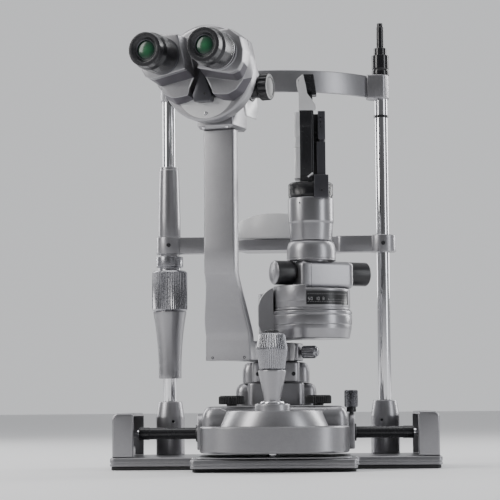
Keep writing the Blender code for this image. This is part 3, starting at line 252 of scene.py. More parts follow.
def make_paint_grain():
    tree, source, result = effect_group(
        "paint_grain", [("Vector", None), ("Scale", 1600.0)], ["Height", "Tint"]
    )
    skin = tree.nodes.new("ShaderNodeTexNoise")
    skin.inputs["Detail"].default_value = 3
    flake = tree.nodes.new("ShaderNodeTexVoronoi")
    tree.links.new(source.outputs["Vector"], skin.inputs["Vector"])
    tree.links.new(source.outputs["Vector"], flake.inputs["Vector"])
    tree.links.new(source.outputs["Scale"], skin.inputs["Scale"])
    tree.links.new(math_node(tree, "MULTIPLY", source.outputs["Scale"], 1.7), flake.inputs["Scale"])
    both = math_node(tree, "ADD", skin.outputs["Fac"],
                     math_node(tree, "MULTIPLY", flake.outputs["Distance"], 0.5))
    tree.links.new(both, result.inputs["Height"])
    tree.links.new(math_node(tree, "SUBTRACT", flake.outputs["Distance"], 0.5), result.inputs["Tint"])
    return tree


PAINT_GRAIN = make_paint_grain()
print("made", PAINT_GRAIN.name)

# %% [markdown]
# **Turning rings.** A tool bit leaves fine rings round a turned piece. They depend only on the place along
# the piece's own axis, so the group stretches a noise until it is flat across and tight along.

# %% Turning rings


def make_turning_rings():
    tree, source, result = effect_group(
        "turning_rings", [("Vector", None), ("Pitch", 5200.0)], ["Height"]
    )
    split = tree.nodes.new("ShaderNodeSeparateXYZ")
    join = tree.nodes.new("ShaderNodeCombineXYZ")
    noise = tree.nodes.new("ShaderNodeTexNoise")
    noise.inputs["Scale"].default_value = 1
    noise.inputs["Detail"].default_value = 2
    tree.links.new(source.outputs["Vector"], split.inputs[0])
    tree.links.new(math_node(tree, "MULTIPLY", split.outputs["X"], 6), join.inputs["X"])
    tree.links.new(math_node(tree, "MULTIPLY", split.outputs["Y"], 6), join.inputs["Y"])
    tree.links.new(math_node(tree, "MULTIPLY", split.outputs["Z"], source.outputs["Pitch"]), join.inputs["Z"])
    tree.links.new(join.outputs[0], noise.inputs["Vector"])
    tree.links.new(noise.outputs["Fac"], result.inputs["Height"])
    return tree


TURNING_RINGS = make_turning_rings()
print("made", TURNING_RINGS.name)

# %% [markdown]
# **Hand smears.** Where an instrument is touched its gloss changes in soft patches a few centimetres wide,
# with finer streaks inside them. One low noise masks a higher one.

# %% Hand smears


def make_hand_smears():
    tree, source, result = effect_group(
        "hand_smears", [("Vector", None), ("Scale", 28.0)], ["Smear"]
    )
    patch = tree.nodes.new("ShaderNodeTexNoise")
    streak = tree.nodes.new("ShaderNodeTexNoise")
    streak.inputs["Detail"].default_value = 5
    streak.inputs["Distortion"].default_value = 0.6
    for noise, factor in ((patch, 1.0), (streak, 7.0)):
        tree.links.new(source.outputs["Vector"], noise.inputs["Vector"])
        tree.links.new(math_node(tree, "MULTIPLY", source.outputs["Scale"], factor), noise.inputs["Scale"])
    mixed = math_node(tree, "MULTIPLY", patch.outputs["Fac"], streak.outputs["Fac"])
    tree.links.new(math_node(tree, "SUBTRACT", mixed, 0.25), result.inputs["Smear"])
    return tree


HAND_SMEARS = make_hand_smears()
print("made", HAND_SMEARS.name)

# %% [markdown]
# **Worn edges.** Paint and plating thin out on a corner. The Bevel node looks a fraction of a millimetre
# around each point; where its rounded normal leaves the true one there is an edge, and a noise breaks the
# line up so that the wear isn't even.

# %% Worn edges


def make_worn_edges():
    tree, source, result = effect_group(
        "worn_edges", [("Vector", None), ("Radius", 0.0006), ("Breakup", 240.0)], ["Edge"]
    )
    bevel = tree.nodes.new("ShaderNodeBevel")
    bevel.samples = 4
    tree.links.new(source.outputs["Radius"], bevel.inputs["Radius"])
    surface = tree.nodes.new("ShaderNodeNewGeometry")
    dot = tree.nodes.new("ShaderNodeVectorMath")
    dot.operation = "DOT_PRODUCT"
    tree.links.new(bevel.outputs[0], dot.inputs[0])
    tree.links.new(surface.outputs["Normal"], dot.inputs[1])
    bend = math_node(tree, "SUBTRACT", 1.0, dot.outputs["Value"])
    noise = tree.nodes.new("ShaderNodeTexNoise")
    noise.inputs["Detail"].default_value = 4
    tree.links.new(source.outputs["Vector"], noise.inputs["Vector"])
    tree.links.new(source.outputs["Breakup"], noise.inputs["Scale"])
    broken = math_node(tree, "MULTIPLY", bend, math_node(tree, "MULTIPLY", noise.outputs["Fac"], 7.0))
    limit = math_node(tree, "MINIMUM", broken, 1.0)
    tree.links.new(limit, result.inputs["Edge"])
    return tree


WORN_EDGES = make_worn_edges()
print("made", WORN_EDGES.name)

# %% [markdown]
# ## Finishes
#
# Every finish on this instrument is one of a dozen: sprayed silver, chromed or turned steel, ground steel,
# blacked metal, moulded black, rubber, pale mouldings. They share one recipe, so one function wires it:
# colour with grain and worn edges, gloss with smears, and a bump of grain or rings.

# %% The recipe that wires a finish


def mixed_colour(tree, low, high, share):
    node = tree.nodes.new("ShaderNodeMix")
    node.data_type = "RGBA"
    for socket, value in ((node.inputs[0], share), (node.inputs[6], low), (node.inputs[7], high)):
        if isinstance(value, bpy.types.NodeSocket):
            tree.links.new(value, socket)
        elif isinstance(value, (int, float)):
            socket.default_value = value
        else:
            socket.default_value = (*value, 1)
    return node.outputs[2]


def placed(tree, group, vector, **values):
    node = tree.nodes.new("ShaderNodeGroup")
    node.node_tree = group
    tree.links.new(vector, node.inputs["Vector"])
    for label, value in values.items():
        node.inputs[label].default_value = value
    return node


def finish(name, colour, metallic, roughness, worn, grain=0.0, grain_scale=1600.0, rings=0.0,
           tint=0.0, smear=0.05, edge=0.35, radius=0.0006, coat=0.0, rounded=True):
    material = bpy.data.materials.new(name)
    material.use_nodes = True
    tree = material.node_tree
    shader = tree.nodes["Principled BSDF"]
    shader.inputs["Metallic"].default_value = metallic
    shader.inputs["Coat Weight"].default_value = coat
    shader.inputs["Coat Roughness"].default_value = 0.12
    place = tree.nodes.new("ShaderNodeTexCoord").outputs["Object"]
    grains = placed(tree, PAINT_GRAIN, place, Scale=grain_scale)
    smears = placed(tree, HAND_SMEARS, place)
    edges = placed(tree, WORN_EDGES, place, Radius=radius)
    shade = math_node(tree, "ADD", math_node(tree, "MULTIPLY", grains.outputs["Tint"], tint),
                      math_node(tree, "MULTIPLY", smears.outputs["Smear"], tint * 0.8))
    darker = [c * 0.72 for c in colour]
    lighter = [min(1, c * 1.22 + 0.004) for c in colour]
    body = mixed_colour(tree, darker, lighter, math_node(tree, "ADD", shade, 0.5))
    shown = mixed_colour(tree, body, worn, math_node(tree, "MULTIPLY", edges.outputs["Edge"], edge))
    tree.links.new(shown, shader.inputs["Base Color"])
    gloss = math_node(tree, "ADD", roughness, math_node(tree, "MULTIPLY", smears.outputs["Smear"], smear))
    tree.links.new(math_node(tree, "MAXIMUM", gloss, 0.03), shader.inputs["Roughness"])
    ring = placed(tree, TURNING_RINGS, place)
    height = math_node(tree, "ADD", math_node(tree, "MULTIPLY", grains.outputs["Height"], grain),
                       math_node(tree, "MULTIPLY", ring.outputs["Height"], rings))
    bump = tree.nodes.new("ShaderNodeBump")
    bump.inputs["Strength"].default_value = 1
    bump.inputs["Distance"].default_value = 0.00002
    tree.links.new(height, bump.inputs["Height"])
    if rounded:
        soft = tree.nodes.new("ShaderNodeBevel")
        soft.samples = 4
        soft.inputs["Radius"].default_value = radius * 0.7
        tree.links.new(soft.outputs[0], bump.inputs["Normal"])
    tree.links.new(bump.outputs[0], shader.inputs["Normal"])
    return material


print("recipe ready")

# %% Mix the finishes
SILVER = (0.34, 0.337, 0.352)
FINISH = {
    "satin_silver": finish("satin_silver", SILVER, 0.92, 0.34, (0.80, 0.80, 0.80), grain=0.55, tint=0.55),
    # painted shade: a darker silver for the pod faces that face down, standing in for the shade they take
    "painted_shade_silver": finish("painted_shade_silver", (0.105, 0.10, 0.115), 0.7, 0.42, (0.5, 0.5, 0.5), grain=0.5,
                            tint=0.4),
    "turned_silver": finish("turned_silver", SILVER, 0.95, 0.30, (0.80, 0.80, 0.80), grain=0.25, rings=0.35,
                            tint=0.4),
    "polished_steel": finish("polished_steel", (0.74, 0.74, 0.76), 1.0, 0.09, (0.9, 0.9, 0.9), rings=0.05,
                             tint=0.15, smear=0.10, edge=0.2),
    "knurled_steel": finish("knurled_steel", (0.34, 0.34, 0.36), 1.0, 0.27, (0.85, 0.85, 0.86), grain=0.3,
                            tint=0.3, edge=0.0, radius=0.0003, rounded=False),
    "ground_steel": finish("ground_steel", (0.42, 0.42, 0.43), 1.0, 0.33, (0.75, 0.75, 0.75), grain=0.4,
                           grain_scale=700, tint=0.6),
    "black_metal": finish("black_metal", (0.020, 0.020, 0.023), 0.35, 0.27, (0.16, 0.16, 0.17), grain=0.25,
                          tint=0.5, edge=0.45, coat=0.15),
    "gloss_black": finish("gloss_black", (0.008, 0.008, 0.010), 0.0, 0.16, (0.10, 0.10, 0.11), tint=0.3,
                          smear=0.02, edge=0.3, coat=0.1),
    "black_plastic": finish("black_plastic", (0.012, 0.012, 0.014), 0.0, 0.30, (0.07, 0.07, 0.075), grain=0.8,
                            grain_scale=1100, tint=0.5, edge=0.4),
    "rubber": finish("rubber", (0.022, 0.022, 0.023), 0.0, 0.72, (0.07, 0.07, 0.07), grain=1.6,
                     grain_scale=900, tint=0.6, edge=0.3),
    "light_plastic": finish("light_plastic", (0.52, 0.52, 0.53), 0.0, 0.36, (0.72, 0.72, 0.72), grain=0.5,
                            tint=0.3, edge=0.3),
    "pale_paint": finish("pale_paint", (0.66, 0.66, 0.67), 0.35, 0.32, (0.85, 0.85, 0.85), grain=0.4,
                         tint=0.3),
    "dark_plate": finish("dark_plate", (0.075, 0.075, 0.085), 0.6, 0.32, (0.3, 0.3, 0.32), grain=0.3,
                         tint=0.4),
    "soft_pad": finish("soft_pad", (0.030, 0.030, 0.033), 0.0, 0.78, (0.06, 0.06, 0.06), grain=2.2,
                       grain_scale=650, tint=0.6, edge=0.2, radius=0.001),
}
print(len(FINISH), "finishes:", ", ".join(FINISH))

# %% [markdown]
# ## Shaping tools
#
# Nearly every piece here is either turned on a lathe or milled from plate, so two makers do most of the
# work. A turned piece is a profile spun round its axis; a milled one is an outline raised to a height. In
# both, what makes metal look like metal is that no corner is ever sharp, so both round their corners.

# %% From points and faces to a finished piece


def smooth_shaded(mesh, sharp=32):
    """Smooth shading, but for edges that turn by more than sharp degrees."""
    mesh.shade_smooth()
    mesh.set_sharp_from_angle(angle=math.radians(sharp))


def shaped(name, points, faces, place=upright, sharp=32):
    edit = bmesh.new()
    corners = [edit.verts.new(p) for p in points]
    for face in faces:
        distinct = []
        for n in face:
            if corners[n] not in distinct:
                distinct.append(corners[n])
        if len(distinct) > 2:
            edit.faces.new(distinct)
    bmesh.ops.remove_doubles(edit, verts=edit.verts, dist=1e-7)
    bmesh.ops.recalc_face_normals(edit, faces=edit.faces)
    mesh = bpy.data.meshes.new(name)
    edit.to_mesh(mesh)
    edit.free()
    smooth_shaded(mesh, sharp)
    piece = bpy.data.objects.new(name, mesh)
    piece.matrix_world = place
    bpy.context.scene.collection.objects.link(piece)
    return piece


def dress(piece, look, body, *nodes):
    """Gives the piece its finish and rides it on a body, in place of the solids it stands for."""
    piece.data.materials.clear()
    piece.data.materials.append(FINISH[look])
    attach(piece, body)
    if nodes:
        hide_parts(*nodes)
    return piece


print("shaping tools ready")

# %% Rounding the corners of a profile


def softened(profile, radius, steps=3, closed=False, even=False):
    """Each corner becomes a small curve that starts and ends radius away. Nearly straight ones stay as they
    are, unless even is set, which gives every ring of a stack the same number of points."""
    count = len(profile)
    result = []
    for n, here in enumerate(profile):
        if not closed and n in (0, count - 1):
            result.append(tuple(here))
            continue
        here = Vector(here)
        back = Vector(profile[n - 1]) - here
        ahead = Vector(profile[(n + 1) % count]) - here
        straight = not even and back.angle(ahead) > math.radians(172)
        if min(back.length, ahead.length) < 1e-6 or straight:
            result.append(tuple(here))
            continue
        start = here + back.normalized() * min(radius, back.length * 0.42)
        end = here + ahead.normalized() * min(radius, ahead.length * 0.42)
        for k in range(steps + 1):
            t = k / steps
            result.append(tuple(start * (1 - t) ** 2 + here * 2 * t * (1 - t) + end * t * t))
    return result


print(len(softened([(0, 0), (1, 0), (1, 1)], 0.1)), "points round one corner")

# %% Turned pieces, plain or with knurls


def turned(name, profile, place=upright, soft=0.0006, segments=96, ridges=None):
    """Spins (radius, height) points. ridges is (count, depth, low, high): straight knurls on that band."""
    run = softened(profile, soft) if soft else list(profile)
    if ridges:
        count, depth, low, high = ridges
        per = 6 if count * 6 <= 420 else 4
        segments = count * per
    points, rows = [], []
    for radius, height in run:
        row = []
        for k in range(segments):
            if radius < 1e-7 and k:
                row.append(row[0])
                continue
            r = radius
            if ridges and low <= height <= high:
                wave = abs(math.sin(math.pi * k / per))
                r = radius - depth * wave
            a = math.tau * k / segments
            row.append(len(points))
            points.append((r * math.cos(a), r * math.sin(a), height))
        rows.append(row)
    faces = []
    pairs = list(zip(rows, rows[1:]))
    if profile[0][0] > 1e-7 and profile[0] != profile[-1]:
        pairs.append((rows[-1], rows[0]))
    for low_row, high_row in pairs:
        for k in range(segments):
            n = (k + 1) % segments
            faces.append((low_row[k], low_row[n], high_row[n], high_row[k]))
    return shaped(name, points, faces, place)


print("lathe ready")

# %% Outlines and milled pieces


def arc(radius, first, last, steps, centre=(0.0, 0.0)):
    angles = [math.radians(first + (last - first) * k / steps) for k in range(steps + 1)]
    return [(centre[0] + radius * math.cos(a), centre[1] + radius * math.sin(a)) for a in angles]


def rectangle(x, y, corner=0.0, steps=5):
    corners = [(x[0], y[0]), (x[1], y[0]), (x[1], y[1]), (x[0], y[1])]
    return softened(corners, corner, steps, closed=True) if corner else corners


def shrunk(outline, inset):
    """The outline, which runs anticlockwise, with every side moved inwards by inset."""
    moved = []
    for n, here in enumerate(outline):
        here = Vector(here)
        along_in = here - Vector(outline[n - 1])
        along_out = Vector(outline[(n + 1) % len(outline)]) - here
        if along_in.length < 1e-9:
            along_in = along_out
        if along_out.length < 1e-9:
            along_out = along_in
        along_in.normalize()
        along_out.normalize()
        inwards = Vector((-along_in.y - along_out.y, along_in.x + along_out.x))
        if inwards.length < 1e-6:
            inwards = Vector((-along_in.y, along_in.x))
        inwards.normalize()
        spread = max(0.6, inwards.dot(Vector((-along_in.y, along_in.x))))
        moved.append(tuple(here + inwards * inset / spread))
    return moved


def stacked(name, rings, place=upright, sharp=32):
    """A skin over level rings of points, closed at both ends."""
    points = [p for ring in rings for p in ring]
    size = len(rings[0])
    faces = [tuple(range(size)), tuple(range(len(points) - size, len(points)))]
    for level in range(len(rings) - 1):
        low, high = level * size, (level + 1) * size
        for k in range(size):
            n = (k + 1) % size
            faces.append((low + k, low + n, high + n, high + k))
    return shaped(name, points, faces, place, sharp)


def rim_levels(low, high, edge, steps=3):
    """(height, inset) pairs that round both rims of a plate."""
    levels = [(low + edge * (1 - math.cos(math.radians(90 * k / steps))),
               edge * (1 - math.sin(math.radians(90 * k / steps)))) for k in range(steps + 1)]
    top = [(high - (z - low), inset) for z, inset in reversed(levels)]
    return levels + top


def milled(name, outline, low, high, place=upright, edge=0.0008, steps=3, levels=None):
    """An outline raised from low to high with both rims rounded, or through given (height, inset) levels."""
    levels = levels or rim_levels(low, high, edge, steps)
    rings = [[(x, y, z) for x, y in shrunk(outline, inset)] for z, inset in levels]
    return stacked(name, rings, place)


def brick(name, x, y, z, place=upright, corner=0.003, edge=0.001):
    return milled(name, rectangle(x, y, corner), z[0], z[1], place, edge)


print("mill ready")

# %% Cutting holes and joining pieces into one


def settled(piece):
    """Applies the piece's modifiers, so that only a plain mesh is left."""
    bpy.context.view_layer.update()
    graph = bpy.context.evaluated_depsgraph_get()
    mesh = bpy.data.meshes.new_from_object(piece.evaluated_get(graph))
    piece.modifiers.clear()
    piece.data = mesh
    return piece


def carved(piece, *tools):
    """The piece with the shape of every tool cut out of it."""
    for tool in tools:
        step = piece.modifiers.new("carve", "BOOLEAN")
        step.operation = "DIFFERENCE"
        step.solver = "EXACT"
        step.object = tool
    settled(piece)
    for tool in tools:
        bpy.data.objects.remove(tool)
    smooth_shaded(piece.data)
    return piece


def assembled(name, *parts):
    """Several shapes as one piece, in the frame of the first."""
    first = parts[0]
    edit = bmesh.new()
    for part in parts:
        mesh = part.data.copy()
        mesh.transform(first.matrix_world.inverted() @ part.matrix_world)
        edit.from_mesh(mesh)
        bpy.data.meshes.remove(mesh)
    mesh = bpy.data.meshes.new(name)
    edit.to_mesh(mesh)
    edit.free()
    first.data = mesh
    first.name = name
    for part in parts[1:]:
        bpy.data.objects.remove(part)
    smooth_shaded(mesh)
    return first


def drill(radius, low, high, place, segments=32):
    return turned("drill", [(0, low), (radius, low), (radius, high), (0, high)], place, 0, segments)


print("carving ready")

# %% Small fittings that turn up everywhere


def cap_screw(name, radius, height, place, slot_width=0.0):
    """A screw head with a hexagon socket, or with a straight slot when its width is given."""
    dome = [(0, height * 0.45), (radius * 0.45, height * 0.45), (radius * 0.52, height),
            (radius * 0.85, height), (radius, height * 0.7), (radius, -0.0006), (0, -0.0006)]
    if not slot_width:
        return turned(name, dome, place, radius * 0.06, 36)
    head = turned(name, [(0, height), (radius * 0.8, height), (radius, height * 0.6), (radius, -0.0006),
                         (0, -0.0006)], place, radius * 0.1, 36)
    groove = brick("groove", (-radius * 2, radius * 2), (-slot_width / 2, slot_width / 2),
                   (height * 0.35, height * 3), place, 0.00002, 0.00001)
    return carved(head, groove)


print("fittings ready")

# %% [markdown]
# ## Base plate and slide
#
# The base is a flat T: a wide rear part that carries the rails and posts, and a narrower slide towards the
# operator. A shallow groove runs round its sides, so it reads as an upper and a lower band. We raise the T
# outline through a list of heights and insets; the groove is two levels that step in and out again.

# %% Base plate
plate_low, plate_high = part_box("base_plate")
mat_low, mat_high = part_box("base_mat")
slide_low, slide_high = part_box("friction_plate")
COVER = {side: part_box(f"rail_cover_{side}") for side, _ in SIDES}
WIDE_FRONT = COVER["left"][0].y - 0.0005
SLIDE_HALF = slide_high.x + 0.006


def base_outline(inset, front):
    x, s = plate_high.x - inset, SLIDE_HALF - inset
    rear, step = plate_high.y - inset, WIDE_FRONT + inset
    corners = [(-s, front), (s, front), (s, step), (x, step), (x, rear), (-x, rear), (-x, step), (-s, step)]
    return softened(corners, 0.006, 5, closed=True)


z0, z1 = plate_low.z, plate_high.z
groove = z0 + 0.0034
plate_levels = [(z0, 0.0007), (z0 + 0.0007, 0), (groove - 0.0005, 0), (groove - 0.0002, 0.0009),
                (groove + 0.0008, 0.0009), (groove + 0.0011, 0), (z1 - 0.0016, 0), (z1 - 0.0008, 0.0003),
                (z1 - 0.0002, 0.0009), (z1, 0.0018)]
plate = milled("base_plate_milled", base_outline(0, plate_low.y), z0, z1, levels=plate_levels)
dress(plate, "satin_silver", "stand", "base_plate")
mat = milled("base_mat_moulded", base_outline(0.0015, mat_low.y), mat_low.z, mat_high.z, edge=0.0008)
dress(mat, "rubber", "stand", "base_mat")
slide = brick("friction_plate_ground", (slide_low.x, slide_high.x), (slide_low.y, slide_high.y),
              (slide_low.z, slide_high.z), corner=0.009, edge=0.0007)
dress(slide, "ground_steel", "stand", "friction_plate")

# %% [markdown]
# ## Rail covers, racks and axle
#
# Two arched covers hide the racks that the carriage rolls on. Each is a rounded cap, open towards the
# middle, so its cast rim shows as an arch. A box with a big rounded top edge is carved out from inside.

# %% Rail covers


def rail_cover(side, sign):
    low, high = COVER[side]
    outer, inner = (low.x, high.x) if sign < 0 else (high.x, low.x)
    thin = 0.0035
    # drawn as an arch with its width and height, then raised from front to back
    across = abs(outer - inner)
    tall = high.z - low.z
    section = [(0, 0), (across, 0)]
    section += arc(0.0075, 0, 90, 8, (across - 0.0075, tall - 0.0075))
    section += arc(0.003, 90, 180, 4, (0.003, tall - 0.003))
    turn = Matrix(((sign, 0, 0, inner), (0, 0, 1, 0), (0, 1, 0, low.z), (0, 0, 0, 1)))
    shell = milled(f"rail_cover_cast_{side}", section, low.y, high.y, turn, 0.0022, 4)
    space = [(-0.02, -0.02), (across - thin, -0.02)]
    space += arc(0.005, 0, 90, 6, (across - thin - 0.005, tall - thin - 0.005))
    space += [(-0.02, tall - thin)]
    hollow = milled("hollow", space, low.y + 0.004, high.y - 0.004, turn, 0.0012, 2)
    carved(shell, hollow)
    return dress(shell, "satin_silver", "stand", f"rail_cover_{side}")


for side, sign in SIDES:
    rail_cover(side, sign)

# %% Axle tube, flanges and lock screw
tube_low, tube_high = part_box("axle_tube")
tube_r = (tube_high.z - tube_low.z) / 2
along = at(0, AXLE.y, AXLE.z) @ FACE_RIGHT
tube = turned("axle_tube_turned", [(0.0048, tube_low.x), (tube_r, tube_low.x), (tube_r, tube_low.x + 0.012),
                                   (tube_r - 0.0005, tube_low.x + 0.0125),
                                   (tube_r - 0.0005, tube_high.x - 0.0125),
                                   (tube_r, tube_high.x - 0.012), (tube_r, tube_high.x),
                                   (0.0048, tube_high.x)],
              along, 0.0004, 64)
dress(tube, "black_metal", "carriage", "axle_tube")
for side, sign in SIDES:
    low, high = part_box(f"base_flange_{side}")
    half = (high.y - low.y) / 2
    centre = (low.y + high.y) / 2
    outline = [(centre - half, low.z), (centre + half, low.z)]
    outline += arc(half, 0, 180, 28, (centre, high.z - half))
    face = Matrix(((0, 0, 1, 0), (1, 0, 0, 0), (0, 1, 0, 0), (0, 0, 0, 1)))
    flange = milled(f"base_flange_cast_{side}", outline, low.x, high.x, face, 0.0013, 4)
    carved(flange, drill(tube_r + 0.0003, -0.2, 0.2, along, 64))
    dress(flange, "satin_silver", "base", f"base_flange_{side}")
    collar = turned(f"axle_gland_{side}",
                    [(tube_r + 0.0002, 0), (tube_r + 0.0032, 0), (tube_r + 0.0024, 0.0022),
                                           (tube_r + 0.0002, 0.0022)],
                    at(high.x if sign > 0 else low.x, AXLE.y,
                       AXLE.z) @ (FACE_RIGHT if sign > 0 else FACE_LEFT),
                    0.0004, 64)
    dress(collar, "black_metal", "base")
for node, look in (("pinion_shaft", "polished_steel"), ("pinion_left", "knurled_steel"),
                   ("pinion_right", "knurled_steel"), ("rack_left", "ground_steel"),
                   ("rack_right", "ground_steel")):
    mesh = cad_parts[node].data
    mesh.materials.clear()
    mesh.materials.append(FINISH[look])

# %% Lock screw
lock_low, lock_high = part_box("lock_screw")
lock = middle("lock_screw")
r = (lock_high.x - lock_low.x) / 2
knob = lock_high.z - 0.020
screw = turned("lock_screw_knurled", [(0, lock_high.z), (r - 0.0012, lock_high.z), (r, lock_high.z - 0.0012),
                                      (r, knob + 0.0012), (r - 0.0012, knob), (0.0045, knob),
                                      (0.0045, knob - 0.0055),
                                      (0.002, knob - 0.0056), (0.002, lock_low.z), (0, lock_low.z)],
               at(lock.x, lock.y, 0), 0.0005, ridges=(28, 0.0011, knob + 0.0008, lock_high.z - 0.0008))
dress(screw, "knurled_steel", "lock", "lock_screw")
profile = [(0.0022, knob - 0.0054), (0.0056, knob - 0.0054), (0.0056, knob + 0.0001),
           (0.0022, knob + 0.0001)]
sleeve = turned("lock_screw_sleeve", profile, at(lock.x, lock.y, 0), 0.0004, 48)
dress(sleeve, "black_metal", "lock")

# %% [markdown]
# ## Posts and their sockets
#
# Two chromed posts carry the head frame. Each stands in a tapered cast socket and is held by a set screw.
# The lower half of a socket is straight and the upper half cone-shaped, with a soft break between.

# %% Posts and sockets
for side, sign in SIDES:
    post = POSTS[side]
    low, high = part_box(f"post_{side}")
    r = (high.x - low.x) / 2
    place = at(post.x, post.y, 0)
    bar = turned(f"post_chromed_{side}", [(0, low.z), (r, low.z), (r, high.z - 0.0008), (r - 0.0008, high.z),
                                          (0, high.z)], place, 0.0004, 80)
    dress(bar, "polished_steel", "stand", f"post_{side}")
    low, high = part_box(f"post_socket_{side}")
    r = (high.x - low.x) / 2
    neck = 0.0142
    floor = low.z + 0.0055
    profile = [(0, floor), (POST_BORE, floor), (POST_BORE, high.z), (neck, high.z), (r, low.z + 0.045),
               (r, low.z), (0, low.z)]
    socket = turned(f"post_socket_cast_{side}", profile, place, 0.0012, 80)
    hole = place @ rotated(16 * -sign, "Z") @ at(0, -r, low.z + 0.040) @ FACE_FRONT
    carved(socket, drill(0.0018, -0.006, 0.01, hole))
    dress(socket, "satin_silver", "stand", f"post_socket_{side}")
    grub = turned(f"set_screw_{side}", [(0, -0.003), (0.0008, -0.003), (0.0008, -0.0016), (0.0017, -0.0016),
                                        (0.0017, -0.005), (0, -0.005)], hole, 0.0001, 24)
    dress(grub, "black_metal", "stand")

# %% [markdown]
# ## Head frame
#
# The patient leans the forehead against a band that bows towards the operator between the two posts. On
# the real thing it is one casting: a thin curved strip that swells into a clamp block at each post. Seen
# from above, that is a single outline, so we draw it once and raise it with rounded rims.

# %% Forehead band
band_low, band_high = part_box("headband_frame")
POST_X, POST_Y = POSTS["right"].x, POSTS["right"].y
strip_low, strip_high = band_low.z + 0.001, band_high.z - 0.001
bulge = POST_Y - band_low.y
half_chord = POST_X - 0.009
band_radius = (half_chord**2 + bulge**2) / (2 * bulge)
band_centre = band_low.y + band_radius
band_half = math.degrees(math.asin(half_chord / band_radius))


def forehead_band():
    thick = 0.003
    outline = arc(band_radius, -90 - band_half, -90 + band_half, 72, (0, band_centre))
    outline += arc(band_radius - thick, -90 + band_half, -90 - band_half, 72, (0, band_centre))
    strip = milled("forehead_band_cast", outline, strip_low, strip_high, edge=0.0012, steps=4)
    parts = [strip]
    for side, sign in SIDES:
        cheek = [(-0.018, -0.0125), (-0.006, -0.013), (0.004, -0.013), (0.010, -0.004), (0.010, 0.013),
                 (-0.012, 0.013), (-0.018, 0.006)]
        outline = [(sign * (POST_X + x), POST_Y + y) for x, y in cheek]
        if sign < 0:
            outline.reverse()
        outline = softened(outline, 0.003, 5, closed=True)
        parts.append(milled(f"band_clamp_{side}", outline, band_low.z, band_high.z, edge=0.0014, steps=4))
    band = assembled("forehead_band_cast", *parts)
    return dress(band, "satin_silver", "stand", "headband_frame")


forehead_band()
for side, sign in SIDES:
    place = at(sign * (POST_X + 0.0098), POST_Y + 0.003, (strip_low + strip_high) / 2)
    place = place @ (FACE_RIGHT if sign > 0 else FACE_LEFT)
    dress(cap_screw(f"band_screw_{side}", 0.0032, 0.0002, place), "black_metal", "stand")

# %% [markdown]
# **Forehead pad.** A soft silicone cushion lines the band where the skin touches it. It is a crowned strip
# that is fullest in the middle and thins to a lip all round, so it is drawn as a grid whose thickness
# follows a rounded bump, with a fine seam line near its rim.

# %% Forehead pad
pad_low, pad_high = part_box("forehead_pad")


def forehead_pad():
    back = band_radius - 0.003 - 0.0002
    half = math.degrees(math.asin(min(1, pad_high.x / back)))
    columns, rows = 56, 18
    points, faces = [], []
    for skin in (0, 1):
        for i in range(columns + 1):
            u = i / columns * 2 - 1
            for j in range(rows + 1):
                v = j / rows * 2 - 1
                crown = (1 - abs(u) ** 6) * (1 - abs(v) ** 4)
                seam = math.exp(-((abs(v) - 0.82) / 0.05) ** 2) * 0.0006 if abs(u) < 0.93 else 0
                depth = 0.0012 + 0.0045 * crown ** 0.6 - seam * min(1, crown * 3) if skin else 0.0
                a = math.radians(-90 + half * u)
                r = back - depth
                tall = (pad_high.z - pad_low.z) / 2 * (1 - 0.03 * abs(u) ** 8)
                points.append((r * math.cos(a), band_centre + r * math.sin(a), strip_low + 0.0125 + tall * v))
    size = (columns + 1) * (rows + 1)

    def n(skin, i, j):
        return skin * size + i * (rows + 1) + j

    for i in range(columns):
        for j in range(rows):
            for skin in (0, 1):
                faces.append((n(skin, i, j), n(skin, i + 1, j), n(skin, i + 1, j + 1), n(skin, i, j + 1)))
    for i in range(columns):
        for j in (0, rows):
            faces.append((n(0, i, j), n(0, i + 1, j), n(1, i + 1, j), n(1, i, j)))
    for j in range(rows):
        for i in (0, columns):
            faces.append((n(0, i, j), n(0, i, j + 1), n(1, i, j + 1), n(1, i, j)))
    pad = shaped("forehead_cushion", points, faces, sharp=60)
    dress(pad, "soft_pad", "stand", "forehead_pad")
    return pad


forehead_pad()

# %% Fixation holder on the right post
collar_low, collar_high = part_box("fixation_collar")
rod_low, rod_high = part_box("fixation_rod")
place = at(POST_X, POST_Y, 0)
r = (collar_high.x - collar_low.x) / 2
step = collar_low.z + 0.0245
collar = turned("fixation_collar_turned", [(0.0048, collar_low.z + 0.004), (0.0048, collar_high.z),
                                           (0.0078, collar_high.z), (0.0078, step), (r, step),
                                           (r, collar_low.z + 0.008), (r - 0.0007, collar_low.z + 0.0074),
                                           (r - 0.0007, collar_low.z + 0.0062), (r, collar_low.z + 0.0056),
                                           (r, collar_low.z), (0, collar_low.z)], place, 0.0005, 72)
dress(collar, "gloss_black", "stand", "fixation_collar")
r = (rod_high.x - rod_low.x) / 2
stem = turned("fixation_rod_turned",
              [(0, rod_high.z), (r - 0.0008, rod_high.z), (r - 0.0008, rod_high.z - 0.004),
                                      (r, rod_high.z - 0.005), (r, rod_low.z), (0, rod_low.z)], place, 0.0005,
              48)
dress(stem, "gloss_black", "fixation", "fixation_rod")
mark = turned("eye_level_ring", [(0.0081, -0.0016), (0.0089, -0.0016), (0.0089, 0.0016), (0.0081, 0.0016)],
              at(POST_X, POST_Y, band_low.z - 0.0215), 0.0003, 64)
dress(mark, "black_metal", "stand")

# %% [markdown]
# ## Chin rest
#
# The chin rest climbs the left post on a screw. From below come a long tapered housing, a knurled nut as
# wide as two fingers, a hub, and a slim sleeve above. Turning the nut lifts the bar and its cup. The
# taper is a gentle curve rather than a cone, so its profile runs through several points.

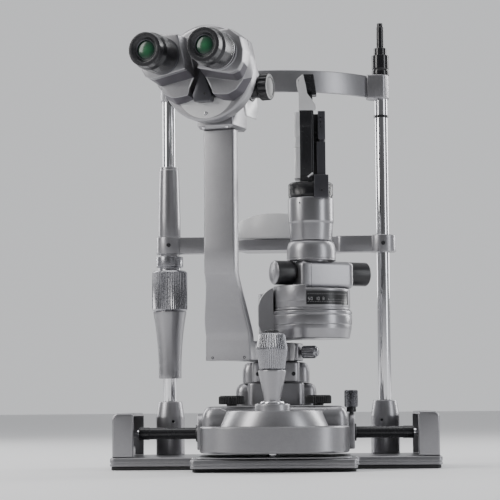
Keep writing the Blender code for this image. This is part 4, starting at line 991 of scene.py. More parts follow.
# %% Screw housing, nut and sleeve
place = at(POSTS["left"].x, POSTS["left"].y, 0)
low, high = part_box("chin_screw_housing")
bottom, top = low.z, high.z
r_top = (high.x - low.x) / 2
taper = []
for k in range(17):
    t = k / 16
    share = t ** 2.3
    taper.append((0.0137 + (r_top - 0.0137) * share, bottom + (top - bottom) * t))
profile = [(POST_BORE, bottom)] + taper + [(0.0125, top), (0.0125, 0.150), (POST_BORE, 0.150)]
housing = turned("chin_housing_turned", profile, place, 0.0005, 96)
dress(housing, "turned_silver", "stand", "chin_screw_housing")
low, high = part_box("chin_height_nut")
r = (high.x - low.x) / 2
grip_top = low.z + 0.0497
profile = [(0.0124, low.z), (0.0124, high.z), (0.0165, high.z), (0.0165, grip_top + 0.0045),
           (0.0140, grip_top + 0.004),
           (0.0140, grip_top), (r - 0.0022, grip_top), (r, grip_top - 0.0022), (r, low.z + 0.0022),
           (r - 0.0022, low.z)]
nut = turned("chin_nut_knurled", profile, place, 0.0006,
             ridges=(54, 0.0009, low.z + 0.0026, grip_top - 0.0026))
dress(nut, "knurled_steel", "chin_nut", "chin_height_nut")
low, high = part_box("chin_lift_sleeve")
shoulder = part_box("chin_bar")[1].z
profile = [(POST_BORE, low.z), (POST_BORE, high.z), (0.0113, high.z), (0.0113, high.z - 0.0035),
           (0.0119, high.z - 0.004),
           (0.0135, shoulder + 0.022), (0.0135, shoulder + 0.0005), (0.0120, shoulder), (0.0120, low.z)]
sleeve = turned("chin_sleeve_turned", profile, place, 0.0008, 80)
dress(sleeve, "turned_silver", "chinrest", "chin_lift_sleeve")

# %% Chin bar
bar_low, bar_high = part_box("chin_bar")


def chin_bar():
    low, high = bar_low.z + 0.0004, bar_high.z - 0.0004
    parts = []
    for side, sign in SIDES:
        arm = [(POST_X, -0.009), (POST_X, 0.009), (0.085, 0.009), (0.057, 0.033), (0.057, 0.017),
               (0.077, -0.009)]
        outline = [(sign * x, POST_Y + y) for x, y in arm]
        if sign < 0:
            outline.reverse()
        outline = softened(outline, 0.003, 4, closed=True)
        parts.append(milled(f"chin_arm_{side}", outline, low, high, edge=0.0012))
        hub = POSTS[side]
        bore = 0.0122 if sign < 0 else POST_BORE
        profile = [(bore, bar_low.z), (0.016, bar_low.z), (0.016, bar_high.z), (bore, bar_high.z)]
        parts.append(turned(f"chin_hub_{side}", profile, at(hub.x, hub.y, 0), 0.0012, 80))
    shelf = [(-0.062, 0.016), (-0.040, 0.010), (0.040, 0.010), (0.062, 0.016), (0.062, 0.034), (0.045, 0.034),
             (0.038, 0.061), (-0.038, 0.061), (-0.045, 0.034), (-0.062, 0.034)]
    outline = softened([(x, POST_Y + y) for x, y in shelf], 0.006, 5, closed=True)
    parts.append(milled("chin_shelf", outline, low + 0.0045, low + 0.0184, edge=0.0012))
    bar = assembled("chin_bar_cast", *parts)
    return dress(bar, "satin_silver", "chinrest", "chin_bar")


chin_bar()
for side, sign in SIDES:
    hub = POSTS[side]
    place = at(hub.x, hub.y - 0.0159, (bar_low.z + bar_high.z) / 2) @ FACE_FRONT
    dress(cap_screw(f"chin_hub_screw_{side}", 0.0026, 0.0009, place), "black_metal", "chinrest")

# %% [markdown]
# **Chin cup.** A moulded bowl, open towards the patient, with its wall highest on the operator's side.
# A grid of points walks round the bowl and from the floor's middle up over the rim and back down outside,
# which makes a closed shell with a real thickness and a soft curve where floor meets wall.

# %% Chin cup
cup_low, cup_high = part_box("chin_cup")


def chin_cup():
    radius = 0.0560
    centre_y = POST_Y + 0.059
    floor = cup_low.z
    tall = cup_high.z - floor
    around = 72
    points, faces = [], []
    rows = []
    for k in range(around):
        a = math.tau * k / around
        front = max(0.0, -math.sin(a))
        share = front ** 0.8 if front > 0.02 else 0
        rim = 0.0072 + (tall - 0.0072) * share
        reach = radius if math.sin(a) <= 0 else radius * (1 - 0.42 * math.sin(a) ** 0.8)
        wall = 0.0030
        run = [(0.0, 0.0046), (reach * 0.45, 0.0046), (reach * 0.75, 0.0052), (reach - wall - 0.006, 0.0062)]
        for t in (0.35, 0.7, 1.0):
            run.append((reach - wall - 0.006 * (1 - t) ** 2, 0.0062 + (rim - 0.0012 - 0.0062) * t ** 1.3))
        run += [(reach - wall + 0.0006, rim - 0.0003), (reach - wall / 2, rim),
                (reach - 0.0006, rim - 0.0003)]
        run += [(reach, rim - 0.0012), (reach, 0.003), (reach - 0.0008, 0.0008), (reach - 0.0022, 0.0),
                (reach * 0.6, 0.0), (0.0, 0.0)]
        row = []
        for r, z in run:
            row.append(len(points))
            points.append((r * math.cos(a), centre_y + r * math.sin(a), floor + z))
        rows.append(row)
    for k in range(around):
        here, after = rows[k], rows[(k + 1) % around]
        for n in range(len(here) - 1):
            faces.append((here[n], after[n], after[n + 1], here[n + 1]))
    cup = shaped("chin_cup_moulded", points, faces, sharp=50)
    return dress(cup, "light_plastic", "chinrest", "chin_cup")


chin_cup()

# %% [markdown]
# ## Rolling base
#
# The base is a cast bell in three masses that melt into each other: an upright wall bowed towards the
# operator, a low cone in front that carries the joystick, and rounded shoulders behind it. Each mass is a
# stack of outlines, and booleans then cut the hollow and the bores out of each.

# %% Base housing
house_low, house_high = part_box("base_housing")
HOUSE_TOP = house_high.z - 0.0025


def bell_outline(inset):
    half = house_high.x - inset
    neck = 0.056 - inset
    rear = AXLE.y + 0.020 - inset
    neck_rear = house_high.y - inset
    shoulder_y = AXLE.y - 0.085
    bow = shoulder_y - house_low.y - inset
    points = []
    for k in range(57):
        a = math.radians(180 + 180 * k / 56)
        x = math.copysign(abs(math.cos(a)) ** 0.72, math.cos(a)) * half
        y = shoulder_y + math.copysign(abs(math.sin(a)) ** 0.80, math.sin(a)) * bow
        points.append((x, y))
    corner, inner = 0.012, 0.006
    right = arc(corner, 0, 90, 8, (half - corner, rear - corner))
    right += arc(inner + inset, 270, 180, 6, (0.056 + inner, AXLE.y + 0.020 + inner))
    right += arc(corner, 0, 90, 8, (neck - corner, neck_rear - corner))
    return points + right + [(-x, y) for x, y in reversed(right)]


CREASE = house_low.z + 0.0293  # the edge between the wall and the cone
CONE_TOP = house_low.z + 0.0470
CONE_Y = -0.0790


def bell_rings(levels):
    return [[(x, y, z) for x, y in bell_outline(inset)] for z, inset in levels]


def cone_rings(rows):
    return [[(x, CONE_Y + y, z) for x, y in oval(a, b)] for z, a, b in rows]


def oval(a, b):
    turn = [math.tau * k / 96 for k in range(96)]
    return [(a * math.cos(t), b * math.sin(t)) for t in turn]


def shoulder_outline():
    half, front, rear = house_high.x - 0.0012, AXLE.y - 0.074, AXLE.y + 0.0195
    neck_rear = house_high.y - 0.0008
    side = [(half, front), (half, rear), (0.0560, rear), (0.0560, neck_rear)]
    return side + [(-x, y) for x, y in reversed(side)]


def shoulder_rings(rows):
    outline = softened(shoulder_outline(), 0.016, 7, closed=True, even=True)
    return [[(x, y, z) for x, y in shrunk(outline, inset)] for z, inset in rows]


def axle_bore():
    return drill(tube_r + 0.0004, -0.2, 0.2, along, 48)


def column_bore():
    return drill(0.0123, 0.02, 0.2, pivot_frame, 48)


def stick_bore():
    return drill(0.0148, 0.05, 0.2, stick_frame, 64)


def base_bell():
    low, top = house_low.z, HOUSE_TOP
    wall = [(low, 0.0022), (low + 0.0006, 0.0010), (low + 0.0022, 0.0), (CREASE - 0.0012, 0.0002),
            (CREASE - 0.0002, 0.0009), (CREASE + 0.0002, 0.0020)]
    cone = [(CREASE - 0.008, 0.0598, 0.0600), (CREASE, 0.0604, 0.0608), (CREASE + 0.0010, 0.0600, 0.0606),
            (CONE_TOP - 0.0016, 0.0534, 0.0582), (CONE_TOP - 0.0004, 0.0524, 0.0573),
            (CONE_TOP, 0.0508, 0.0560)]
    shoulder = [(CREASE - 0.006, 0.0004), (CREASE + 0.008, 0.0)]
    for k in range(1, 8):
        a = math.radians(90 * k / 7)
        shoulder.append((CREASE + 0.008 + (top - CREASE - 0.008) * math.sin(a), 0.0095 * (1 - math.cos(a))))
    inside = stacked("inside", bell_rings([(low - 0.01, 0.0048), (CREASE - 0.0045, 0.0048)]))
    bell = carved(stacked("base_bell_wall", bell_rings(wall)), inside, axle_bore(), column_bore(),
                  stick_bore())
    dress(bell, "satin_silver", "base", "base_housing")
    top_cone = carved(stacked("base_bell_cone", cone_rings(cone)), column_bore(), stick_bore())
    dress(top_cone, "satin_silver", "base")
    rear = carved(stacked("base_bell_shoulders", shoulder_rings(shoulder)), axle_bore(), column_bore())
    dress(rear, "satin_silver", "base")


base_bell()
profile = [(0.0149, CONE_TOP - 0.001), (0.0149, house_high.z), (0.0188, house_high.z),
           (0.0196, house_high.z - 0.001), (0.0196, CONE_TOP - 0.001)]
collar = turned("joystick_collar", profile, stick_frame, 0.0007, 96)
dress(collar, "satin_silver", "base")
foot_low, foot_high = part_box("slide_foot")
foot = middle("slide_foot")
r = (foot_high.x - foot_low.x) / 2
profile = [(0, foot_low.z), (r * 0.6, foot_low.z), (r * 0.95, foot_low.z + 0.0022), (r, foot_low.z + 0.005),
           (r, foot_high.z), (0, foot_high.z)]
dress(turned("slide_foot_turned", profile, at(foot.x, foot.y, 0), 0.0008, 48), "polished_steel", "base",
      "slide_foot")

# %% Ribs beside the cone
for sign in (-1, 1):
    outline = [(-0.0009, -0.008), (0.0009, -0.008), (0.0009, 0.008), (-0.0009, 0.008)]
    place = at(sign * 0.0555, CONE_Y + 0.006, CONE_TOP - 0.0012)
    place = place @ rotated(-38 * sign, "Z") @ rotated(14, "X")
    rib = milled(f"shoulder_rib_{'left' if sign < 0 else 'right'}", softened(outline, 0.0008, 3, closed=True),
                 0, 0.0021, place, 0.0006)
    dress(rib, "satin_silver", "base")

# %% Brake knobs
for side, sign in SIDES:
    low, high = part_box(f"base_knob_{side}")
    knob = middle(f"base_knob_{side}")
    r = (high.x - low.x) / 2
    rim = low.z + 0.002
    profile = [(0, high.z - 0.0016), (r * 0.62, high.z - 0.0016), (r * 0.70, high.z), (r - 0.0018, high.z),
               (r, high.z - 0.0016), (r, rim + 0.001), (r - 0.001, rim), (0.006, rim), (0.006, low.z),
               (0, low.z)]
    disc = turned(f"brake_knob_{side}", profile, at(knob.x, knob.y, 0), 0.0006,
                  ridges=(38, 0.0011, rim + 0.0006, high.z - 0.0010))
    dress(disc, "black_plastic", f"knob_{side}", f"base_knob_{side}")
    pin = turned(f"brake_knob_cap_{side}",
                 [(0, high.z - 0.0006), (0.0032, high.z - 0.0006), (0.0036, high.z - 0.0010),
                                            (0.0036, high.z - 0.0020), (0, high.z - 0.0020)],
                 at(knob.x, knob.y, 0), 0.0003, 40)
    dress(pin, "polished_steel", f"knob_{side}")

# %% [markdown]
# ## Joystick
#
# The operator's hand lives here. A turned cone rises from a ball ring in the bell; on it sits a barrel
# grip with fine straight knurls, widest just above its middle, and a domed black button for the camera.
# Turning the grip lifts the whole microscope, pushing it slides the base.

# %% Joystick
ring_low, ring_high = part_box("joystick_gimbal")
r = (ring_high.x - ring_low.x) / 2
ring = turned("joystick_ring", [(0.0100, ring_low.z), (0.0100, ring_high.z), (r - 0.0012, ring_high.z),
                                (r, ring_high.z - 0.0016), (r, ring_low.z + 0.001), (r - 0.001, ring_low.z)],
              stick_frame, 0.0008, 96)
dress(ring, "polished_steel", "gimbal", "joystick_gimbal")
for n, a in enumerate((20, 160, 200, 340)):
    place = stick_frame @ at(0.0166 * math.cos(math.radians(a)), 0.0166 * math.sin(math.radians(a)),
                             house_high.z - 0.0002)
    dress(cap_screw(f"ring_screw_{n}", 0.0015, 0.0005, place, 0.0004), "polished_steel", "base")
stem_low, stem_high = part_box("joystick_stem")
grip_low, grip_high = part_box("joystick_grip")
cone_top = grip_low.z - 0.0003
r = (stem_high.x - stem_low.x) / 2
profile = [(0, stem_high.z), (0.006, stem_high.z), (0.006, cone_top), (r - 0.0012, cone_top),
           (r, cone_top - 0.0012),
           (r - 0.0005, cone_top - 0.004), (0.0088, ring_high.z + 0.001), (0.0085, ring_low.z),
           (0.006, stem_low.z), (0, stem_low.z)]
dress(turned("joystick_cone", profile, stick_frame, 0.0007, 96), "turned_silver", "stick", "joystick_stem")
r = (grip_high.x - grip_low.x) / 2
bulge_z = grip_low.z + 0.56 * (grip_high.z - grip_low.z)
profile = [(0.0063, grip_low.z), (0.0063, grip_high.z - 0.008), (0.0034, grip_high.z - 0.008),
           (0.0034, grip_high.z - 0.0030), (0.0096, grip_high.z - 0.0030), (0.0096, grip_high.z),
           (r - 0.0058, grip_high.z), (r - 0.0030, grip_high.z - 0.0016), (r - 0.0002, bulge_z + 0.0014),
           (r - 0.0002, bulge_z - 0.0008), (r - 0.0034, grip_low.z + 0.0008), (r - 0.0044, grip_low.z)]
grip = turned("joystick_grip_knurled", profile, stick_frame, 0.0005,
              ridges=(44, 0.0008, grip_low.z + 0.0006, grip_high.z - 0.0012))
dress(grip, "knurled_steel", "grip", "joystick_grip")
knob_low, knob_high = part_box("joystick_button")
low = grip_high.z + 0.0018
profile = [(0, knob_high.z), (0.003, knob_high.z - 0.0002), (0.0062, knob_high.z - 0.0012),
           (0.0086, knob_high.z - 0.0028),
           (0.0090, knob_high.z - 0.0036), (0.0090, low), (0.003, low), (0.003, knob_low.z), (0, knob_low.z)]
dress(turned("joystick_button_domed", profile, stick_frame, 0.0004, 72), "gloss_black", "button",
      "joystick_button")

# %% [markdown]
# ## Pivot and elevating column
#
# Two rounded blocks stack behind the joystick. The lower one is fixed to the bell and guides the column;
# the upper one rises with it and carries both arms. Each is a lobed casting: a narrow tall middle with
# lower, softer shoulders at its sides.

# %% Lower and upper blocks
low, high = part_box("column_housing")


def lobed_block(name, half_width, mid_half, y_low, y_high, z_low, z_high, drop, shoulder):
    centre = [(-mid_half, y_low), (mid_half, y_low), (mid_half, y_high), (-mid_half, y_high)]
    tall = milled(name, softened(centre, 0.009, 6, closed=True), z_low, z_high, pivot_frame, 0.0020, 4)
    wide = [(-half_width, y_low + 0.011), (half_width, y_low + 0.011), (half_width, y_high - 0.002),
            (-half_width, y_high - 0.002)]
    levels = [(z_low, 0.0006), (z_low + 0.0006, 0.0), (z_high - drop, 0.0)]
    for k in range(1, 7):
        a = math.radians(90 * k / 6)
        levels.append((z_high - drop + drop * math.sin(a), shoulder * (1 - math.cos(a))))
    lobes = milled("lobes", softened(wide, 0.012, 7, closed=True), 0, 1, pivot_frame, levels=levels)
    return assembled(name, tall, lobes)


lower = lobed_block("column_housing_cast", high.x, 0.033, low.y - PIVOT.y, high.y - PIVOT.y,
                    low.z, high.z - 0.0002, 0.011, 0.009)
dress(lower, "satin_silver", "base", "column_housing")
low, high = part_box("pivot_block")
upper = lobed_block("pivot_block_cast", high.x, 0.0280, low.y - PIVOT.y, high.y - PIVOT.y,
                    low.z, high.z, 0.012, 0.007)
dress(upper, "satin_silver", "elevator", "pivot_block")
for sign in (-1, 1):
    place = pivot_frame @ at(sign * 0.021, low.y - PIVOT.y + 0.0002, low.z + 0.010) @ FACE_FRONT
    dress(cap_screw(f"pivot_screw_{'left' if sign < 0 else 'right'}", 0.0024, 0.0008, place), "black_metal",
          "elevator")
low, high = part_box("elevating_column")
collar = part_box("pivot_block")[0].z
profile = [(0, high.z), (0.008, high.z), (0.009, high.z - 0.001), (0.009, collar + 0.003),
           (0.0159, collar + 0.003),
           (0.0159, collar), (0.012, collar), (0.012, low.z), (0, low.z)]
dress(turned("elevating_column_ground", profile, pivot_frame, 0.0003, 72), "polished_steel", "elevator",
      "elevating_column")

# %% [markdown]
# ## Microscope arm
#
# The arm is one casting: a broad foot hung in front of the pivot, a sweep outwards past the lamp, and a
# slim upright. A skin through level sections, each a rounded rectangle of its own width, gives the sweep.

# %% Arm
arm_low, arm_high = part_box("microscope_arm")
ARM_TOP = arm_high.z


def arm_section(radius_in, depth, half_width, height, offset=0.0):
    outline = [(offset - half_width, -radius_in - depth), (offset + half_width, -radius_in - depth),
               (offset + half_width, -radius_in), (offset - half_width, -radius_in)]
    return [(x, y, height) for x, y in softened(outline, 0.0024, 4, closed=True)]


def blended(low, high, t):
    s = t * t * (3 - 2 * t)
    return [a + (b - a) * s for a, b in zip(low, high)]


def microscope_arm():
    foot = (0.1035, 0.0170, 0.0278, -0.0115)
    bend = (0.1096, 0.0138, 0.0268, -0.0107)
    top = (0.1581, 0.0138, 0.0184, 0.0)
    rings = []
    low = arm_low.z
    rings.append(arm_section(foot[0] + 0.0006, foot[1] - 0.0012, foot[2] - 0.0006, low, foot[3]))
    rings.append(arm_section(*foot[:3], low + 0.0008, foot[3]))
    for k in range(1, 5):
        r, d, w, o = blended(foot, bend, k / 4)
        rings.append(arm_section(r, d, w, low + 0.0008 + (0.150 - low) * k / 4, o))
    for k in range(1, 19):
        t = k / 18
        r, d, w, o = blended(bend, top, t)
        straight = bend[0] + (top[0] - bend[0]) * t
        r = straight * 0.72 + r * 0.28
        rings.append(arm_section(r, d, w, 0.1518 + (0.2195 - 0.1518) * t, o))
    for height in (0.25, 0.30, 0.35, ARM_TOP - 0.0008):
        rings.append(arm_section(*top[:3], height, 0.0))
    rings.append(arm_section(top[0] + 0.0006, top[1] - 0.0012, top[2] - 0.0006, ARM_TOP, 0.0))
    arm = stacked("microscope_arm_cast", rings, scope_frame)
    foot_low, foot_high = low + 0.0003, low + 0.0222
    outline = arc(0.026, 10, 170, 30) + [(-0.030, -0.108), (0.012, -0.108)]
    collar = milled("arm_foot", outline, foot_low, foot_high, scope_frame, 0.0014, 4)
    carved(collar, drill(0.0093, 0.1, 0.2, pivot_frame, 48))
    boss = brick("clamp_boss", (0.012, 0.0315), (-0.010, 0.010), (foot_low + 0.0006, foot_high - 0.0006),
                 scope_frame, 0.003, 0.0014)
    arm = assembled("microscope_arm_cast", arm, collar, boss)
    return dress(arm, "satin_silver", "microscope", "microscope_arm")


microscope_arm()
for x, z in ((0.0085, 0.1268), (-0.030, 0.1268)):
    place = scope_frame @ at(x, -0.1203, z) @ FACE_FRONT
    dress(cap_screw(f"arm_foot_screw_{'right' if x > 0 else 'left'}", 0.0016, 0.0006, place), "black_metal",
          "microscope")
low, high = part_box("swing_clamp_knob")
clamp = scope_frame @ at(0, 0, (low.z + high.z) / 2) @ FACE_RIGHT
r = (high.z - low.z) / 2
profile = [(0, 0.0163), (0.003, 0.0163), (0.003, 0.0332), (0.0046, 0.0334), (r - 0.0012, 0.0337), (r, 0.0350),
           (r, 0.0495), (r - 0.0010, 0.0508), (r - 0.0022, 0.0512), (r - 0.0026, 0.0528),
           (r - 0.0042, 0.0534),
           (0, 0.0534)]
dress(turned("swing_clamp_knurled", profile, clamp, 0.0003, ridges=(26, 0.0010, 0.0358, 0.0492)),
      "knurled_steel", "clamp", "swing_clamp_knob")

# %% Pale edge behind the clamp, a painted highlight for the lit edge of the arm's foot
outline = [(0.0, 0.0), (0.0105, 0.0), (0.0120, 0.0165), (0.0105, 0.0205), (0.0065, 0.0215), (0.0045, 0.0180)]
outline += [(0.0055, 0.0120), (0.0025, 0.0060)]
outline = softened(outline, 0.0012, 4, closed=True)
place = scope_frame @ at(0.0170, -0.0113, arm_low.z + 0.0012) @ FACE_FRONT
# pale paint here is a painted highlight standing for the light on the foot's edge
ear = milled("foot_edge_painted_highlight", outline, -0.0012, 0.0026, place, 0.0007)
dress(ear, "pale_paint", "microscope")

# %% [markdown]
# ## Microscope head
#
# A saddle bracket carries the body, which is turned round the optical axis: an objective towards the eye,
# a plain barrel, and a wide drum towards the operator. Every part below is drawn standing on the optical
# axis with height meaning distance from the pivot, then laid over once by the optic frame.

# %% Bracket
low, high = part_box("arm_bracket")
REAR = 0.206  # from the pivot to the face that the pods turn on
DRUM_DEPTH = 0.0243  # the wide end of the body, behind the bracket
front = DRUM_DEPTH - REAR
levels = [(low.z, 0.0035), (low.z + 0.0012, 0.0016), (low.z + 0.0035, 0.0), (high.z, 0.0)]
block = milled("arm_bracket_cast", rectangle((-0.0215, 0.0215), (front, front + 0.0435), 0.003, 5), 0, 1,
               scope_frame, levels=levels)
carved(block, drill(0.0384, 0.05, 0.3, optic_frame, 96))
dress(block, "satin_silver", "microscope", "arm_bracket")
for n, x in enumerate((-0.0140, 0.0140)):
    tilt = rotated(40, "X")
    place = scope_frame @ at(x, front + 0.0012, low.z + 0.0012) @ FACE_FRONT @ tilt
    dress(cap_screw(f"bracket_screw_{n}", 0.0016, 0.0008, place), "polished_steel", "microscope")

# %% Body
profile = [(0, 0.1180), (0.0178, 0.1180), (0.0178, 0.1101), (0.0236, 0.1101), (0.0240, 0.1106),
           (0.0240, 0.1155),
           (0.0232, 0.1160), (0.0232, 0.1172), (0.0240, 0.1178), (0.0240, 0.1320), (0.0300, 0.1322),
           (0.0378, 0.1420), (0.0378, 0.1560), (0.0371, 0.1566), (0.0371, 0.1580), (0.0378, 0.1586),
           (0.0378, 0.1820), (0.0420, 0.1836), (0.0528, 0.1876), (0.0537, 0.1895), (0.0537, 0.2035),
           (0.0519, 0.2056), (0.0500, REAR), (0, REAR)]
body = turned("microscope_body_turned", profile, optic_frame, 0.0010, 144)
dress(body, "satin_silver", "microscope", "microscope_body")

# %% [markdown]
# **Coated glass.** Coated lenses look deep green: the film reflects green and the tube behind is black.
# A smooth dark surface under a clear coat shows that from outside, and its colour fades from a green
# middle to a nearly black rim, so that the lens looks deep instead of painted.

# %% Lens finish and objective


def coated_glass(name, rim, heart):
    material = bpy.data.materials.new(name)
    material.use_nodes = True
    tree = material.node_tree
    shader = tree.nodes["Principled BSDF"]
    shader.inputs["Roughness"].default_value = 0.22
    shader.inputs["Coat Weight"].default_value = 0.35
    shader.inputs["Coat Roughness"].default_value = 0.03
    shader.inputs["Specular IOR Level"].default_value = 0.35
    place = tree.nodes.new("ShaderNodeTexCoord").outputs["Object"]
    split = tree.nodes.new("ShaderNodeSeparateXYZ")
    tree.links.new(place, split.inputs[0])
    x_square = math_node(tree, "POWER", math_node(tree, "ABSOLUTE", split.outputs["X"]), 2.0)
    y_square = math_node(tree, "POWER", math_node(tree, "ABSOLUTE", split.outputs["Y"]), 2.0)
    squares = math_node(tree, "ADD", x_square, y_square)
    reach = math_node(tree, "MULTIPLY", math_node(tree, "SQRT", squares), 100.0)
    smear = placed(tree, HAND_SMEARS, place, Scale=60.0)
    share = math_node(tree, "ADD", reach, math_node(tree, "MULTIPLY", smear.outputs["Smear"], 0.5))
    tree.links.new(mixed_colour(tree, heart, rim, math_node(tree, "MINIMUM", share, 1.0)),
                   shader.inputs["Base Color"])
    return material


FINISH["coated_glass"] = coated_glass("coated_glass", (0.004, 0.020, 0.014), (0.020, 0.125, 0.050))
profile = [(0, 0.1112), (0.006, 0.1114), (0.012, 0.1120), (0.0176, 0.1132), (0.0176, 0.1176), (0, 0.1176)]
lens = turned("objective_lens_ground", profile, optic_frame, 0.0002, 64)
dress(lens, "coated_glass", "microscope", "objective_lens")

# %% Pale dish under the pods


def dish():
    outline = arc(0.0352, -158, -22, 56, (0, -0.0153))
    piece = milled("dish_plate", outline, REAR - 0.0010, REAR + 0.00015, optic_frame, 0.0001, 1)
    return dress(piece, "pale_paint", "microscope")


dish()
place = optic_frame @ at(0, -0.0455, REAR)
dress(cap_screw("dish_screw", 0.0026, 0.0009, place @ rotated(68, "Z"), 0.0009),
      "polished_steel", "microscope")

# %% Magnification knobs
magnifier = scope_frame @ at(0, -0.165, middle("magnification_knobs").z)
r = 0.015
for side, sign in SIDES:
    turn = magnifier @ (FACE_RIGHT if sign > 0 else FACE_LEFT)
    profile = [(0.0, 0.0385), (0.0118, 0.0385), (0.0118, 0.0470), (0.0110, 0.0476), (0.0110, 0.0486),
               (r - 0.0010, 0.0490),
               (r, 0.0502), (r, 0.0585), (r - 0.0008, 0.0596), (r - 0.0040, 0.0599), (r - 0.0046, 0.0592),
               (0, 0.0592)]
    knob = turned(f"magnifier_knob_{side}", profile, turn, 0.0004, ridges=(18, 0.0012, 0.0504, 0.0590))
    nodes = ("magnification_knobs",) if sign > 0 else ()
    dress(knob, "black_plastic", "magnifier", *nodes)

# %% [markdown]
# ## Prism pods and eyepieces
#
# Each eye has a pod that holds its prisms. The pod is milled from a wedge: a pale upper face that carries
# the eyepiece, a facet that slopes back underneath with painted shade where it faces down, and a pale lower
# facet. Four outlines stacked from back to front make those faces. Pods turn about their own axes to suit the
# distance between eyes.

# %% Pods
POD_LOW, POD_HIGH = 0.2063, 0.2463
FACET = POD_LOW + 0.0160
# each tier walks from the inner bottom corner outwards, up, and back down the inner edge
REAR_TIER = [(0.0135, -0.0290), (0.0230, -0.0325), (0.0335, -0.0338), (0.0460, -0.0262), (0.0555, -0.0105),
             (0.0590, 0.0120), (0.0555, 0.0280), (0.0440, 0.0375), (0.0170, 0.0370), (0.0076, 0.0040)]
FACET_TIER = [(0.0150, -0.0264), (0.0240, -0.0277), (0.0328, -0.0280), (0.0420, -0.0236), (0.0500, -0.0140),
              (0.0590, 0.0130), (0.0558, 0.0285), (0.0440, 0.0380), (0.0165, 0.0371), (0.0078, 0.0035)]
STEP_TIER = [(0.0062, -0.0078), (0.0300, -0.0124), (0.0445, -0.0150), (0.0510, -0.0118), (0.0565, -0.0010),
             (0.0594, 0.0138), (0.0559, 0.0288), (0.0440, 0.0383), (0.0162, 0.0372), (0.0080, 0.0040)]
UPPER_TIER = [(0.0068, -0.0020), (0.0280, -0.0067), (0.0460, -0.0104), (0.0540, -0.0076), (0.0590, 0.0010),
              (0.0600, 0.0140), (0.0560, 0.0290), (0.0440, 0.0385), (0.0160, 0.0372), (0.0083, 0.0078)]


def pod_ring(tier, height, inset, sign):
    run = [(sign * x, y) for x, y in tier]
    if sign < 0:
        run = run[::-1]
    return [(x, y, height) for x, y in shrunk(softened(run, 0.0016, 4, closed=True, even=True), inset)]


def pod_face_gets_painted_shade(height, lean):
    """The facet between the upper and lower faces, and the chamfer under the lower one, face down; they get
    painted shade, a darker silver that stands for the shade they take.
    """
    facet = FACET + 0.0008 < height < POD_HIGH - 0.0062
    chamfer = POD_LOW + 0.0016 < height < FACET - 0.0006
    return (facet or chamfer) and lean < -0.3


def pod(side, sign):
    rings = [(REAR_TIER, POD_LOW, 0.0012), (REAR_TIER, POD_LOW + 0.0008, 0.0003),
             (REAR_TIER, POD_LOW + 0.0018, 0.0),
             (FACET_TIER, FACET - 0.0008, -0.0004), (FACET_TIER, FACET - 0.0001, 0.0001),
             (FACET_TIER, FACET, 0.0006),
             (STEP_TIER, FACET + 0.0003, 0.0), (STEP_TIER, FACET + 0.0009, 0.0),
             (UPPER_TIER, POD_HIGH - 0.0066, -0.0002), (UPPER_TIER, POD_HIGH - 0.0056, 0.0),
             (UPPER_TIER, POD_HIGH - 0.0014, 0.0), (UPPER_TIER, POD_HIGH - 0.0004, 0.0005),
             (UPPER_TIER, POD_HIGH, 0.0014)]
    piece = stacked(f"prism_pod_cast_{side}", [pod_ring(*ring, sign) for ring in rings], optic_frame,
                    sharp=24)
    # faces that face down get the darker silver as painted shade
    painted_shade_faces = [pod_face_gets_painted_shade(face.center.z, face.normal.y) for face in piece.data.polygons]
    dress(piece, "satin_silver", f"pod_{side}", f"prism_pod_{side}")
    piece.data.materials.append(FINISH["painted_shade_silver"])
    piece.data.polygons.foreach_set("material_index", [int(shade) for shade in painted_shade_faces])
    return piece


for side, sign in SIDES:
    pod(side, sign)

# %% Eyepieces
EYE_X, EYE_Y = 0.0337, 0.0137  # of an eyepiece's axis, from the optical axis
front = POD_HIGH + 0.0467
for side, sign in SIDES:
    place = optic_frame @ at(sign * EYE_X, EYE_Y, 0)
    profile = [(0, front - 0.0085), (0.0102, front - 0.0085), (0.0104, front - 0.0042),
               (0.0132, front - 0.0010),
               (0.0142, front), (0.0178, front), (0.0185, front - 0.0008), (0.0185, front - 0.0098),
               (0.0191, front - 0.0108), (0.0205, front - 0.0142), (0.0205, POD_HIGH + 0.0052),
               (0.0198, POD_HIGH + 0.0046), (0.0198, POD_HIGH + 0.0028), (0.0165, POD_HIGH + 0.0026),
               (0.0165, POD_HIGH - 0.006), (0, POD_HIGH - 0.006)]
    tube = turned(f"eyepiece_turned_{side}", profile, place, 0.0004, 120)
    dress(tube, "black_metal", f"ocular_{side}", f"eyepiece_{side}")
    grip_low, grip_high = front - 0.0300, front - 0.0150
    band = turned(f"eyepiece_grip_{side}", [(0.0198, grip_low), (0.02049, grip_low), (0.02049, grip_high),
                                            (0.0198, grip_high)], place, 0.0002,
                  ridges=(70, 0.0005, grip_low + 0.0003, grip_high - 0.0003))
    dress(band, "rubber", f"ocular_{side}")
    bezel = turned(f"eyepiece_bezel_{side}", [(0.0100, front - 0.0046), (0.0134, front - 0.0009),
                                              (0.0141, front - 0.0006), (0.0141, front - 0.0016),
                                              (0.0106, front - 0.0052)], place, 0.0001, 96)
    dress(bezel, "dark_plate", f"ocular_{side}")
    glass = [(0, front - 0.0042), (0.004, front - 0.0043), (0.008, front - 0.0049), (0.0100, front - 0.0056),
             (0.0100, front - 0.0077), (0, front - 0.0077)]
    dress(turned(f"eye_lens_ground_{side}", glass, place, 0, 64), "coated_glass", f"ocular_{side}",
          f"eye_lens_{side}")
    base = turned(f"eyepiece_base_ring_{side}", [(0.0167, POD_HIGH - 0.0004), (0.0204, POD_HIGH - 0.0004),
                                                 (0.0204, POD_HIGH + 0.0018), (0.0196, POD_HIGH + 0.0024),
                                                 (0.0167, POD_HIGH + 0.0024)], place, 0.0004, 96)
    dress(base, "turned_silver" if sign > 0 else "dark_plate", f"pod_{side}")

# %% [markdown]
# **Dioptre scale.** The right eyepiece has a bright ring and a short scale of ticks, so that a user can set
# it to their own eye. Ticks are tiny raised bars, spaced evenly round the barrel.

